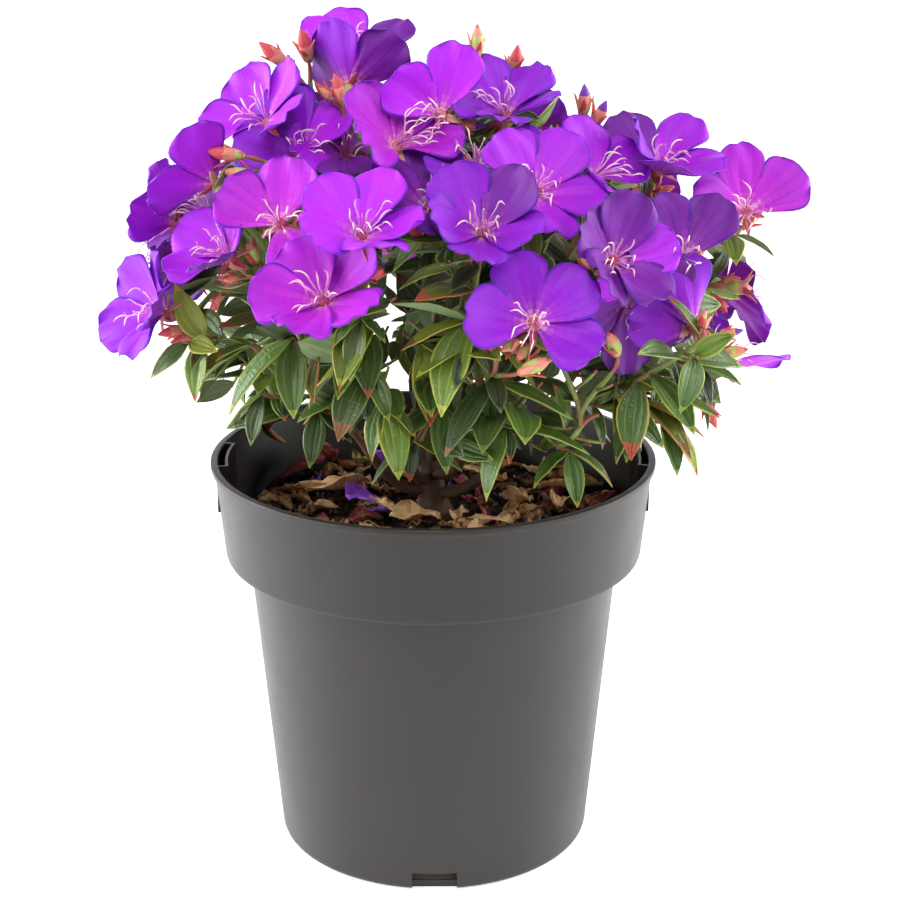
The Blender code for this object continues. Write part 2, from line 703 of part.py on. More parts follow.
SWELLS = {
    "bloom": ((CALYX_LENGTH * 0.45, CALYX_RADIUS), (CALYX_LENGTH + 2.5, 0)),
    "bud": ((BUD_LENGTH * 0.38, BUD_RADIUS), (BUD_LENGTH, 0)),
    "spray": ((TIP_BUD_LENGTH, 0),),
}


def twig_mesh(curve, kind, root_radius):
    """A three-sided twig that ends in its calyx, its flower bud or its leaf bud."""
    tip = TIP_BUD_RADIUS if kind == "spray" else TWIG_TIP_RADIUS
    return limb_mesh(curve, (root_radius, tip), 3, rows_of(curve), SWELLS[kind])


def leaf_pairs(curve, end_kind, rng):
    """Opposite pairs down a twig from its tip, each pair square to the last."""
    total = length_of(curve)
    found = []
    turn = float(rng.uniform(0, 90))
    back = FIRST_PAIR[end_kind]
    for size in LEAF_LENGTHS[: PAIRS[end_kind]]:
        if back > total - BARE_FOOT:
            break
        place, way = on_twig(curve, [1 - back / total])
        first, other = frame_of(way[0], UP)
        for half in (0, 180):
            a = math.radians(turn + half + float(rng.uniform(-12, 12)))
            out = first * math.cos(a) + other * math.sin(a)
            ahead = unit(out * 0.86 + way[0] * 0.5 - 0.22 * UP)
            length = size * float(rng.uniform(0.85, 1.15))
            found.append((place[0], ahead, unit(way[0] + 0.6 * UP), length))
        turn += 90
        back += LEAF_SPACING * float(rng.uniform(0.9, 1.2))
    return found


def flower(place, facing, data):
    """For each petal that a bloom still has: the petal as planned, then its variants."""
    turn, petals, opening = data
    up, side = frame_of(facing, UP)
    kept = [turn + 72 * j for j, left in enumerate(petals) if left == "1"]
    return [[petal(place, facing, up, side, a + da, opening + do) for da, do in PETAL_TRIES] for a in kept]


def leaf_plans(twig, targets, rng):
    """Where a twig's leaves start, their way, their upper side and their length."""
    curve, k, _ = twig
    kind, place, _, data = targets[k]
    if kind == "bud":
        return []
    if data and kind == "spray":
        shown = [(place, towards(heading, rise), UP, length) for heading, rise, length in data]
        return shown + leaf_pairs(curve, kind, rng)[2:4]
    return leaf_pairs(curve, kind, rng)


def leaf_variants(plan):
    """A leaf as planned, then turned and dipped a little, for where it would touch."""
    node, way, up, length = plan
    for turn, dip in LEAF_TRIES:
        c = math.cos(math.radians(turn))
        s = math.sin(math.radians(turn))
        turned_way = np.array([way[0] * c - way[1] * s, way[0] * s + way[1] * c, way[2]])
        turned_way = unit(turned_way - math.sin(math.radians(dip)) * UP)
        yield leaf(node, turned_way, up, length)


def outer_part(shape):
    """A leaf without its root, which may touch its own twig."""
    verts, faces = shape
    tip = verts[2]
    return tip + (verts - tip) * 0.72, faces


# Which place belongs to which mass.


def skeleton_points(bough, twigs, petals, targets):
    """Points along the limbs of a mass, its petals and the leaves that are named."""
    curves = [bough] + [curve for curve, _, _ in twigs]
    points = [along(c, np.linspace(0, 1, max(3, int(length_of(c) / 4))))[0] for c in curves]
    for verts, _ in petals:
        tip = (verts[2] + verts[3]) / 2
        points.append(verts[0] + (tip - verts[0]) * np.array([[0.5], [0.8], [1.0]]))
    for _, k, _ in twigs:
        kind, place, _, data = targets[k]
        if kind == "spray":
            for heading, rise, length in data:
                points.append(place + towards(heading, rise) * length * np.array([[0.3], [0.6], [0.9]]))
    return np.concatenate(points)


def nearest(points, cloud):
    return np.sqrt(((points[:, None] - cloud[None]) ** 2).sum(2).min(1))


def keeps_space(verts, own, others):
    """True if every point lies nearer to its own skeleton than to any other."""
    probe = np.concatenate([verts, verts.mean(0)[None]])
    return bool((nearest(probe, own) + 0.6 < nearest(probe, others)).all())


def clear_of(verts, faces, tree):
    """True if a piece stays GAP clear of the surfaces in a tree."""
    if tree is None:
        return True
    probe = np.concatenate([verts, verts[np.array(faces)].mean(1)])
    for p in probe:
        if tree.find_nearest(Vector(p), GAP + 0.1)[0] is not None:
            return False
    return not tree.overlap(BVHTree.FromPolygons([Vector(v) for v in verts], faces))


def clear_of_all(shape, trees):
    return all(clear_of(*shape, tree) for tree in trees)


def out_of_pot(verts):
    """True if a piece is neither in the potting mix nor through the pot's wall."""
    r = np.hypot(verts[:, 0], verts[:, 1])
    mouth = COLLAR_TOP_RADIUS - WALL - HANGER_CLEAR - HANGER_WALL - POT_MARGIN
    inside = (r < mouth) & (verts[:, 2] > SOIL_HEIGHT + SOIL_LUMP + POT_MARGIN)
    return bool((inside | (verts[:, 2] > RIM_HEIGHT + POT_MARGIN)).all())


def tree_of(shapes):
    """One search tree over many (points, faces) shapes, in mm."""
    verts = []
    polys = []
    for points, faces in shapes:
        base = len(verts)
        verts += [Vector(p) for p in points]
        polys += [tuple(i + base for i in f) for f in faces]
    return BVHTree.FromPolygons(verts, polys) if polys else None


def tri(faces):
    """Faces cut into triangles by fans."""
    return [(f[0], f[k], f[k + 1]) for f in faces for k in range(1, len(f) - 1)]


def mesh_shape(obj):
    points = [v.co / MM for v in obj.data.vertices]
    return points, [tuple(p.vertices) for p in obj.data.polygons]


def make_limbs(grown, bark):
    """The bough of each mass. Returns them as shapes."""
    shapes = []
    for name, _ in MASSES:
        bough = grown[name][0]
        rows = max(3, round(length_of(bough) / BOUGH_STEP))
        verts, faces = limb_mesh(bough, (BOUGH_ROOT_RADIUS, BOUGH_TIP_RADIUS), BOUGH_SIDES, rows)
        obj = new_object(name.replace("mass", "bough"), verts, faces, bark)
        smooth(obj, 50)
        shapes.append((verts, tri(faces)))
    return shapes


def others(shapes, name):
    """The shapes of every mass but one, in one search tree."""
    return tree_of([shape for other, own in shapes.items() if other != name for shape in own])


def set_out_twigs(grown, targets, limb_tree):
    """The twigs of each mass, without those that touch a limb or another mass."""
    shapes = {name: [] for name, _ in MASSES}
    held = {}
    for name, _ in MASSES:
        foreign = others(shapes, name)
        held[name] = []
        for number, (curve, k, radius) in enumerate(grown[name][1]):
            verts, faces = twig_mesh(curve, targets[name][k][0], radius)
            shape = (verts, tri(faces))
            if number and not (clear_of(*shape, limb_tree) and clear_of(*shape, foreign)):
                continue
            shapes[name].append(shape)
            held[name].append((curve, k, radius))
    return shapes, held


def set_out_petals(held, targets, stems, limb_tree):
    """The petals of each mass, each turned or closed a little where it would touch."""
    petals = {name: [] for name, _ in MASSES}
    for name, _ in MASSES:
        foreign = (limb_tree, others(stems, name), others(petals, name))
        for _, k, _ in held[name]:
            kind, place, facing, data = targets[name][k]
            if kind != "bloom":
                continue
            crowd = tree_of(petals[name])
            bloom = []
            for variants in flower(place, facing, data):
                fitting = [v for v in variants if out_of_pot(v[0]) and clear_of_all(v, foreign)]
                free = [v for v in fitting if clear_of(*v, crowd)]
                bloom += (free or fitting)[:1]
            petals[name] += bloom
    return petals


def set_out_leaves(held, targets, stems, petals, clouds, limb_tree):
    """The leaves of each mass, each turned a little where it would touch."""
    leaves = {name: [] for name, _ in MASSES}
    for number, (name, _) in enumerate(MASSES):
        rng = np.random.default_rng(SEED + 100 * number)
        own_cloud = clouds[name]
        other_cloud = np.concatenate([clouds[n] for n, _ in MASSES if n != name])
        foreign = (limb_tree, others(stems, name), others(petals, name), others(leaves, name))
        for twig in held[name]:
            for plan in leaf_plans(twig, targets[name], rng):
                crowd = tree_of(petals[name] + [outer_part(shape) for shape in leaves[name]])
                for shape in leaf_variants(plan):
                    if not (out_of_pot(shape[0]) and keeps_space(shape[0], own_cloud, other_cloud)):
                        continue
                    if clear_of_all(shape, foreign) and clear_of(*outer_part(shape), crowd):
                        leaves[name].append(shape)
                        break
    return leaves


def main():
    for obj in list(bpy.data.objects):
        bpy.data.objects.remove(obj)
    plastic = finish("pot_plastic", (0.085, 0.082, 0.083), 0.42)
    mix = finish("potting_mix", (0.030, 0.020, 0.013), 0.95)
    bark = finish("bark", (0.130, 0.075, 0.035), 0.80)
    foliage = finish("foliage", (0.045, 0.130, 0.030), 0.40)
    solids = [make_pot(plastic), make_soil(mix), make_trunk(bark)]

    targets = targets_of_all()
    grown = {name: grow(name, height, targets[name]) for name, height in MASSES}
    limb_tree = tree_of([mesh_shape(obj) for obj in solids] + make_limbs(grown, bark))
    stems, held = set_out_twigs(grown, targets, limb_tree)
    petals = set_out_petals(held, targets, stems, limb_tree)
    clouds = {n: skeleton_points(grown[n][0], held[n], petals[n], targets[n]) for n, _ in MASSES}
    leaves = set_out_leaves(held, targets, stems, petals, clouds, limb_tree)
    for name, _ in MASSES:
        shapes = stems[name] + petals[name] + leaves[name]
        parts = [new_object(name if k == 0 else "piece", v, f, foliage) for k, (v, f) in enumerate(shapes)]
        join_all(parts[0], parts[1:], "UNION", "MANIFOLD")
        largest_shell(parts[0])


main()
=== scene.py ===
# %% [markdown]
# # A potted princess flower
#
# This notebook builds the looks of a dwarf princess flower in full blossom, standing
# in its nursery pot. The exact solids of the plant are loaded first. They give the
# place and the reach of every part: pot, potting mix, trunk, boughs, and the masses of
# twigs, leaves and blossom that the boughs carry. Each later cell makes one kind of
# thing as it is on the real plant, gives it its finish, and lets it stand for the solid.

# %% Load the measured solids
import functools
import itertools
import math

import bpy
import numpy as np
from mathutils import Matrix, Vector
from mathutils.bvhtree import BVHTree
from mathutils.kdtree import KDTree


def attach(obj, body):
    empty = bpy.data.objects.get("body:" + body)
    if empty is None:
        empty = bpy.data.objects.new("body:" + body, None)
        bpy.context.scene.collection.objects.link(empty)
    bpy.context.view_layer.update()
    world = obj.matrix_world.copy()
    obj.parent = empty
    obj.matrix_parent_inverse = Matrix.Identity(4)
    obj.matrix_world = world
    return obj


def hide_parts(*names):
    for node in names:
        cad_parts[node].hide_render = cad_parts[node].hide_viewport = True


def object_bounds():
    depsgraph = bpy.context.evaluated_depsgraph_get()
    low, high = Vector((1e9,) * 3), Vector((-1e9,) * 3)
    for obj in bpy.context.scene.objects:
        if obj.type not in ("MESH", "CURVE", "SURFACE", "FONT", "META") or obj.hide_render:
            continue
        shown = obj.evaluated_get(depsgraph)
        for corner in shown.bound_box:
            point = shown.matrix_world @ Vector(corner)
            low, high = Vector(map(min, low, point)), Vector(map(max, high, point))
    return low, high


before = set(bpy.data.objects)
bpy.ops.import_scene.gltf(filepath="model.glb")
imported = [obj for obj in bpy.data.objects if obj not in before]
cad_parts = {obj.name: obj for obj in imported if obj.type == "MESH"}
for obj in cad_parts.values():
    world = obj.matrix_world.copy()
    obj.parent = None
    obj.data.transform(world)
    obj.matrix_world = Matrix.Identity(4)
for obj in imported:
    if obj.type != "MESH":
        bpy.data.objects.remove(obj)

solid_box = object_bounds()
MM = 0.001
UP = np.array([0.0, 0.0, 1.0])
print("solids:", len(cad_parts), "height in mm:", round(solid_box[1].z / MM, 1))

# %% [markdown]
# ## Finishes
#
# Every finish is a physically based surface: a base colour, how rough it is at the scale
# of light, and a fine relief where the real thing has one. Colours are written as the
# sRGB codes that a screen picker shows, and one function turns them into linear light.
# A second function adds one node to a finish, with its settings and what feeds it.
# Leaves and petals differ in colour from spray to spray, so their finishes come in
# families: the same surface in several tints, dealt out face by face later on.

# %% Tools for finishes
def linear(code):
    """An sRGB colour code as linear red, green, blue and a full alpha."""
    parts = [int(code[k : k + 2], 16) / 255 for k in (0, 2, 4)]
    return (*[c / 12.92 if c <= 0.04045 else ((c + 0.055) / 1.055) ** 2.4 for c in parts], 1.0)


def between(first, last, share):
    """The colour code some share of the way from the first code to the last."""
    pairs = [(int(first[k : k + 2], 16), int(last[k : k + 2], 16)) for k in (0, 2, 4)]
    return "".join(f"{round(a + (b - a) * share):02x}" for a, b in pairs)


def surface(name, colour, roughness, **more):
    """A finish with one base colour. Other settings are named by their socket."""
    made = bpy.data.materials.new(name)
    made.use_nodes = True
    shader = made.node_tree.nodes["Principled BSDF"]
    shader.inputs["Base Color"].default_value = linear(colour)
    shader.inputs["Roughness"].default_value = roughness
    for socket, value in more.items():
        shader.inputs[socket.replace("_", " ")].default_value = value
    return made


def add(made, kind, feeds=None, **settings):
    """Adds a node to a finish. A feed is a plain value, or a socket to link."""
    node = made.node_tree.nodes.new("ShaderNode" + kind)
    for key, value in settings.items():
        setattr(node, key, value)
    for socket, value in (feeds or {}).items():
        if isinstance(value, bpy.types.NodeSocket):
            made.node_tree.links.new(value, node.inputs[socket])
        else:
            node.inputs[socket].default_value = value
    return node


def emboss(made, height, depth_mm):
    """Lets a 0 to 1 pattern stand out of the surface by some millimetres."""
    bump = add(made, "Bump", {"Height": height, "Distance": depth_mm * MM})
    shader = made.node_tree.nodes["Principled BSDF"]
    made.node_tree.links.new(bump.outputs["Normal"], shader.inputs["Normal"])


def grain(made, size_mm, detail=3.0):
    """A noise whose lumps are about as large as said, on the object as it stands."""
    where = add(made, "TexCoord").outputs["Object"]
    noise = add(made, "TexNoise", {"Vector": where, "Scale": 1 / (size_mm * MM), "Detail": detail})
    return noise.outputs["Fac"]


def streaks(made, across, down, detail):
    """A noise drawn out over each blade: how many streaks lie across it and down it."""
    spread = add(made, "UVMap", uv_map="spread").outputs["UV"]
    drawn = add(made, "Mapping", {"Vector": spread, "Scale": (across, down, 1.0)}).outputs["Vector"]
    return add(made, "TexNoise", {"Vector": drawn, "Scale": 1.0, "Detail": detail}).outputs["Fac"]


def family(*tints):
    """Several tints of one kind of surface, each by name, colour and roughness."""
    return [surface(*tint) for tint in tints]


def vary_roughness(made, pattern, low, high):
    """Lets a 0 to 1 pattern move the roughness between two values."""
    span = add(made, "MapRange", {"Value": pattern, "To Min": low, "To Max": high})
    shader = made.node_tree.nodes["Principled BSDF"]
    made.node_tree.links.new(span.outputs["Result"], shader.inputs["Roughness"])


# %% [markdown]
# ## Shapes
#
# Two shapes make up nearly the whole plant. A *tube* follows a path and changes its
# radius: stems, stamens, buds and cups. A *sheet* is a thin closed skin over a curved
# grid: leaves, petals, sepals. Both come as points in millimetres and four-sided faces,
# and each face knows which tint of its family it wears. Many of them are then joined
# into one mesh, which keeps the model light.

# %% Tools for shapes
def unit(v):
    return v / max(float(np.linalg.norm(v)), 1e-9)


def frame_of(axis, hint):
    """Two unit vectors square to the axis, the first as near to hint as can be."""
    first = hint - axis * float(hint @ axis)
    if np.linalg.norm(first) < 0.05:
        first = np.array([1.0, 0.0, 0.0]) - axis * float(axis[0])
    first = unit(first)
    return first, np.cross(first, axis)


def spoke(first, other, turn):
    """The direction that lies some turn, in radians, from the first vector to the other."""
    return first * math.cos(turn) + other * math.sin(turn)


@functools.cache
def tube_faces(rows, sides):
    """The faces of a capped tube, and for each face the stretch that it belongs to."""
    around = np.arange(sides)
    after = (around + 1) % sides
    foot = np.arange(rows - 1)[:, None] * sides
    walls = np.stack([foot + around, foot + after, foot + sides + after, foot + sides + around], -1)
    cap = np.array([(0, 2 * j + 1, 2 * j + 2, 2 * j + 3) for j in range((sides - 2) // 2)])
    faces = np.concatenate([walls.reshape(-1, 4), cap[:, ::-1], cap + (rows - 1) * sides])
    stretch = np.concatenate([np.repeat(np.arange(rows - 1), sides), np.zeros(len(cap), int)])
    return faces, np.concatenate([stretch, np.full(len(cap), rows - 2)])


def tube(path, radii, sides=6, tints=0):
    """A tube along a path, with a radius for each point and a tint for each stretch."""
    path = np.asarray(path, float)
    rows = len(path)
    radii = np.broadcast_to(radii, rows)
    tints = np.broadcast_to(tints, rows - 1)
    way = np.gradient(path, axis=0)
    way /= np.maximum(np.linalg.norm(way, axis=1), 1e-9)[:, None]
    side = frame_of(way[0], np.array([0.31, 0.95, 0.11]))[0]
    turn = np.arange(sides)[:, None] * 2 * math.pi / sides
    rings = []
    for k in range(rows):
        side = unit(side - way[k] * float(side @ way[k]))
        rings.append(path[k] + radii[k] * (np.cos(turn) * side + np.sin(turn) * np.cross(way[k], side)))
    faces, stretch = tube_faces(rows, sides)
    around, along_it = np.tile(np.arange(sides) / sides, rows), np.repeat(np.linspace(0, 1, rows), sides)
    return np.concatenate(rings), faces, tints[stretch], np.stack([around, along_it], 1)


@functools.cache
def sheet_faces(rows, cols):
    """The faces of a thin closed skin over a grid: upper, lower, then the rim."""
    at = np.arange(rows * cols).reshape(rows, cols)
    upper = np.stack([at[:-1, :-1], at[:-1, 1:], at[1:, 1:], at[1:, :-1]], -1).reshape(-1, 4)
    rim = np.concatenate([at[0, :-1], at[:-1, -1], at[-1, :0:-1], at[:0:-1, 0]])
    after = np.roll(rim, -1)
    low = rows * cols
    edge = np.stack([rim, rim + low, after + low, after], -1)
    return np.concatenate([upper, upper[:, ::-1] + low, edge])


def sheet(grid, thickness, upper, lower, rim):
    """A thin closed skin over a grid of points. upper is the tint of each upper face."""
    rows, cols = grid.shape[:2]
    normal = np.cross(np.gradient(grid, axis=1), np.gradient(grid, axis=0))
    normal /= np.maximum(np.linalg.norm(normal, axis=2), 1e-9)[..., None]
    lift = normal * thickness / 2
    verts = np.concatenate([(grid + lift).reshape(-1, 3), (grid - lift).reshape(-1, 3)])
    faces = sheet_faces(rows, cols)
    inner = (rows - 1) * (cols - 1)
    upper = np.broadcast_to(upper, (rows - 1, cols - 1)).ravel()
    lower = np.broadcast_to(lower, (rows - 1, cols - 1)).ravel()
    tints = np.concatenate([upper, lower, np.full(len(faces) - 2 * inner, rim)])
    u, v = np.meshgrid(np.linspace(0, 1, cols), np.linspace(0, 1, rows))
    return verts, faces, tints, np.tile(np.stack([u.ravel(), v.ravel()], 1), (2, 1))


def placed(x, y, z, origin, side, way, normal):
    """A grid drawn flat, put on the plant: x across, y along the way, z off the face."""
    return origin + x[..., None] * side + y[..., None] * way + z[..., None] * normal


def joined(name, shapes, family, nodes, crease=None):
    """One mesh from many shapes. It rides on the plant and stands for some solids."""
    counts = np.cumsum([0] + [len(s[0]) for s in shapes])
    verts = np.concatenate([s[0] for s in shapes]) * MM
    faces = np.concatenate([s[1] + base for s, base in zip(shapes, counts)])
    tints = np.concatenate([s[2] for s in shapes])
    spread = np.concatenate([s[3] for s in shapes])
    mesh = bpy.data.meshes.new(name)
    mesh.vertices.add(len(verts))
    mesh.vertices.foreach_set("co", verts.ravel())
    mesh.loops.add(faces.size)
    mesh.loops.foreach_set("vertex_index", faces.ravel())
    mesh.polygons.add(len(faces))
    mesh.polygons.foreach_set("loop_start", np.arange(0, faces.size, 4))
    mesh.polygons.foreach_set("material_index", tints)
    mesh.uv_layers.new(name="spread").data.foreach_set("uv", spread[faces.ravel()].ravel())
    for made in family:
        mesh.materials.append(made)
    mesh.update(calc_edges=True)
    mesh.shade_smooth()
    if crease:
        mesh.set_sharp_from_angle(angle=math.radians(crease))
    piece = bpy.data.objects.new(name, mesh)
    bpy.context.scene.collection.objects.link(piece)
    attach(piece, "root")
    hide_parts(*nodes)
    print(name, "triangles:", 2 * len(faces))
    return piece


# %% [markdown]
# ## The pot
#
# A nursery pot is thin polypropylene, pushed out of a steel mould in one shot. Its wall
# turns out into a deep collar, so that pots stack and a hand can lift them, and the rim
# ends in a small lip. Mould corners are never quite sharp, so each corner of the profile
# is rounded by half a millimetre or so before it is turned about the axis. A small pocket
# with a slot sits on either side inside the rim, for a wire hanger, and low notches at
# the foot let water out.

# %% The pot's profile, turned
RIM_RADIUS, RIM_HEIGHT, LIP_HEIGHT = 100.0, 182.0, 3.2
COLLAR_TOP_RADIUS, COLLAR_FOOT_RADIUS, COLLAR_FOOT_HEIGHT = 98.4, 94.5, 138.0
BODY_TOP_RADIUS, BODY_FOOT_RADIUS, FOOT_ROUNDING = 84.2, 72.0, 2.5
WALL, FLOOR = 1.6, 3.2
POT_SIDES = 224
CORNER_MM = 0.7


def rounded(profile, radius, steps=4):
    """The profile with each corner replaced by a short curve."""
    points = [np.array(p, float) for p in profile]
    out = [points[0]]
    for before, corner, after in zip(points, points[1:], points[2:]):
        shorter = min(np.linalg.norm(before - corner), np.linalg.norm(after - corner))
        reach = min(radius, 0.45 * shorter)
        start = corner + unit(before - corner) * reach
        end = corner + unit(after - corner) * reach
        for t in np.linspace(0, 1, steps):
            out.append(start * (1 - t) ** 2 + corner * 2 * t * (1 - t) + end * t**2)
    return np.array(out + [points[-1]])


def solid_mesh(name, verts, faces):
    mesh = bpy.data.meshes.new(name)
    mesh.from_pydata((np.asarray(verts) * MM).tolist(), [], faces)
    piece = bpy.data.objects.new(name, mesh)
    bpy.context.scene.collection.objects.link(piece)
    return piece


def turned(name, profile, sides):
    """A closed solid: the profile's rings, and one round face at either end."""
    turn = np.arange(sides) * 2 * math.pi / sides
    rings = [np.stack([r * np.cos(turn), r * np.sin(turn), np.full(sides, z)], 1) for r, z in profile]
    verts = np.concatenate(rings)
    k = np.arange(sides)
    n = (k + 1) % sides
    faces = []
    for row in range(len(profile) - 1):
        b = row * sides
        faces += np.stack([b + k, b + n, b + sides + n, b + sides + k], 1).tolist()
    last = (len(profile) - 1) * sides
    faces += [k[::-1].tolist(), (last + k).tolist()]
    return solid_mesh(name, verts, faces)


BOX_FACES = [(0, 1, 3, 2), (4, 6, 7, 5), (0, 4, 5, 1), (2, 3, 7, 6), (0, 2, 6, 4), (1, 5, 7, 3)]


def box(name, low, high, turn):
    """A box from its low to its high corner, turned about the pot's axis by degrees."""
    ends = zip(low, high)
    corners = itertools.product(*ends)
    c, s = math.cos(math.radians(turn)), math.sin(math.radians(turn))
    verts = [(x * c - y * s, x * s + y * c, z) for x, y, z in corners]
    return solid_mesh(name, verts, BOX_FACES)


def combine(piece, others, operation):
    """Fuses the others onto the piece, or cuts them out of it, and removes them."""
    for other in others:
        modifier = piece.modifiers.new("shape", "BOOLEAN")
        modifier.operation, modifier.object, modifier.solver = operation, other, "MANIFOLD"
    bpy.context.view_layer.update()
    graph = bpy.context.evaluated_depsgraph_get()
    mesh = bpy.data.meshes.new_from_object(piece.evaluated_get(graph))
    piece.modifiers.clear()
    piece.data = mesh
    for other in others:
        bpy.data.objects.remove(other)


lip_foot = RIM_HEIGHT - LIP_HEIGHT
shoulder = COLLAR_FOOT_HEIGHT + 1.0
profile = [
    (0.4, 0),
    (BODY_FOOT_RADIUS - FOOT_ROUNDING, 0),
    (BODY_FOOT_RADIUS - 0.6, 0.9),
    (BODY_FOOT_RADIUS, FOOT_ROUNDING),
    (BODY_TOP_RADIUS, shoulder),
    (COLLAR_FOOT_RADIUS - 0.5, COLLAR_FOOT_HEIGHT),
    (COLLAR_FOOT_RADIUS, COLLAR_FOOT_HEIGHT + 1.4),
    (COLLAR_TOP_RADIUS, lip_foot),
    (RIM_RADIUS, lip_foot + 0.5),
    (RIM_RADIUS, RIM_HEIGHT),
    (COLLAR_TOP_RADIUS - WALL, RIM_HEIGHT),
    (COLLAR_FOOT_RADIUS - WALL, COLLAR_FOOT_HEIGHT + 1.0 + WALL),
    (BODY_TOP_RADIUS - WALL, shoulder + WALL),
    (BODY_FOOT_RADIUS - WALL, FLOOR + 2.0),
    (BODY_FOOT_RADIUS - WALL - 2.0, FLOOR),
    (0.4, FLOOR),
]
pot = turned("pot_shell", rounded(profile, CORNER_MM), POT_SIDES)

# %% Hanger pockets, slots and drain notches
HANGER_REACH, HANGER_DEPTH, HANGER_CLEAR, HANGER_WALL = 31.0, 22.0, 3.3, 1.2
SLOT_WIDTH, SLOT_HEIGHT, SLOT_CENTRE_HEIGHT = 20.0, 3.8, 168.0
DRAIN_WIDTH, DRAIN_HEIGHT, DRAIN_COUNT = 20.0, 9.0, 3


def hanger(turn):
    """The pocket's own wall: a shallow bracket against the inside of the collar."""
    outer, inner = COLLAR_TOP_RADIUS - WALL / 2, COLLAR_TOP_RADIUS - WALL - HANGER_CLEAR
    half, rib = HANGER_REACH / 2 / inner, HANGER_WALL / inner
    steps = np.linspace(-half, half, 9)
    plan = [(outer, -half - rib)]
    plan += [(inner - HANGER_WALL, a) for a in [-half - rib, *steps[1:-1], half + rib]]
    plan += [(outer, half + rib), (outer, half)]
    plan += [(inner, a) for a in steps[::-1]] + [(outer, -half)]
    heights = (RIM_HEIGHT - HANGER_DEPTH, RIM_HEIGHT - 0.4)
    verts = [(r * math.cos(a + turn), r * math.sin(a + turn), z) for z in heights for r, a in plan]
    n = len(plan)
    faces = [tuple(range(n))[::-1], tuple(range(n, 2 * n))]
    faces += [(k, (k + 1) % n, (k + 1) % n + n, k + n) for k in range(n)]
    return solid_mesh("hanger", verts, faces)


combine(pot, [hanger(turn) for turn in (0.0, math.pi)], "UNION")
half_slot = SLOT_HEIGHT / 2
slot_low = (COLLAR_FOOT_RADIUS - WALL - 0.2, -SLOT_WIDTH / 2, SLOT_CENTRE_HEIGHT - half_slot)
slot_high = (RIM_RADIUS + 2.0, SLOT_WIDTH / 2, SLOT_CENTRE_HEIGHT + half_slot)
drain_low = (BODY_FOOT_RADIUS - FOOT_ROUNDING - WALL, -DRAIN_WIDTH / 2, -1.0)
drain_high = (BODY_FOOT_RADIUS + 4.0, DRAIN_WIDTH / 2, DRAIN_HEIGHT)
drain_turns = [-90 + 360 * k / DRAIN_COUNT for k in range(DRAIN_COUNT)]
cutters = [box("slot", slot_low, slot_high, turn) for turn in (0, 180)]
cutters += [box("drain", drain_low, drain_high, turn) for turn in drain_turns]
combine(pot, cutters, "DIFFERENCE")
pot.data.shade_smooth()
pot.data.set_sharp_from_angle(angle=math.radians(32))

# The plastic has a satin skin: it keeps a broad soft shine towards the sides, where
# light grazes it, and very fine flow marks that only show in that shine.
plastic = surface("charcoal_polypropylene", "272421", 0.38, IOR=1.49, Specular_IOR_Level=0.38)
emboss(plastic, grain(plastic, 0.6), 0.012)
vary_roughness(plastic, grain(plastic, 18.0), 0.34, 0.46)
pot.data.materials.clear()
pot.data.materials.append(plastic)
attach(pot, "root")
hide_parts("pot")
print("pot faces:", len(pot.data.polygons))

# %% [markdown]
# ## The potting mix
#
# Potting mix is a coarse peat with composted bark and wood fibre. Seen close it is a
# heap of separate crumbs, almost black where it is damp and chestnut brown where the top
# has dried. A rolling ground surface carries the shading of the deeper gaps, and several
# thousand loose crumbs, bark flakes and root threads lie on it.

# %% The ground of the potting mix
SEED = 7
GAP = 0.3
SOIL_HEIGHT = 151.0
SOIL_EDGE_DROP = 3.0
GROUND_SIDES = 150
RELIEF_MM = 2.4


def wall_radius(z):
    """Inner radius of the pot at a height above the shoulder."""
    slope = (COLLAR_TOP_RADIUS - COLLAR_FOOT_RADIUS) / (lip_foot - COLLAR_FOOT_HEIGHT)
    return COLLAR_FOOT_RADIUS - WALL + slope * (z - shoulder - WALL)


def ripple(x, y, size, phase):
    """A smooth random relief between about -1 and 1, with lumps of some millimetres."""
    rng = np.random.default_rng(phase)
    total = np.zeros(np.shape(x))
    for _ in range(7):
        a, p = rng.uniform(0, 2 * math.pi, 2)
        k = 2 * math.pi / (size * rng.uniform(0.7, 1.6))
        total = total + np.sin(k * (x * math.cos(a) + y * math.sin(a)) + p)
    return total / 3.2


def ground(x, y):
    """Height of the potting mix, which falls a little towards the wall."""
    edge = np.clip((np.hypot(x, y) / 95.0 - 0.5) / 0.5, 0, 1)
    height = SOIL_HEIGHT - SOIL_EDGE_DROP * edge**2
    return height + RELIEF_MM * (0.6 * ripple(x, y, 26, 1) + 0.4 * ripple(x, y, 8, 2))


turn = np.arange(GROUND_SIDES) * 2 * math.pi / GROUND_SIDES
edge_radius = wall_radius(SOIL_HEIGHT - SOIL_EDGE_DROP) - GAP
rings = [(0.5, FLOOR + GAP), (BODY_FOOT_RADIUS - WALL - 2.4, FLOOR + GAP)]
rings += [(BODY_FOOT_RADIUS - WALL - GAP - 0.1, FLOOR + 2.3)]
rings += [(BODY_TOP_RADIUS - WALL - GAP, shoulder + GAP)]
rings += [(COLLAR_FOOT_RADIUS - WALL - GAP, shoulder + WALL + 0.4)]
rows = [np.stack([r * np.cos(turn), r * np.sin(turn), np.full(GROUND_SIDES, z)], 1) for r, z in rings]
for r in np.linspace(edge_radius, 0.5, 60):
    x, y = r * np.cos(turn), r * np.sin(turn)
    rows.append(np.stack([x, y, ground(x, y)], 1))
faces = tube_faces(len(rows), GROUND_SIDES)[0]
flat = np.zeros((GROUND_SIDES * len(rows), 2))
ground_shape = (np.concatenate(rows), faces, np.zeros(len(faces), int), flat)

damp = surface("damp_peat", "1a120c", 0.92)
emboss(damp, grain(damp, 1.6, 6.0), 0.9)
joined("mix_ground", [ground_shape], [damp], ["soil"])

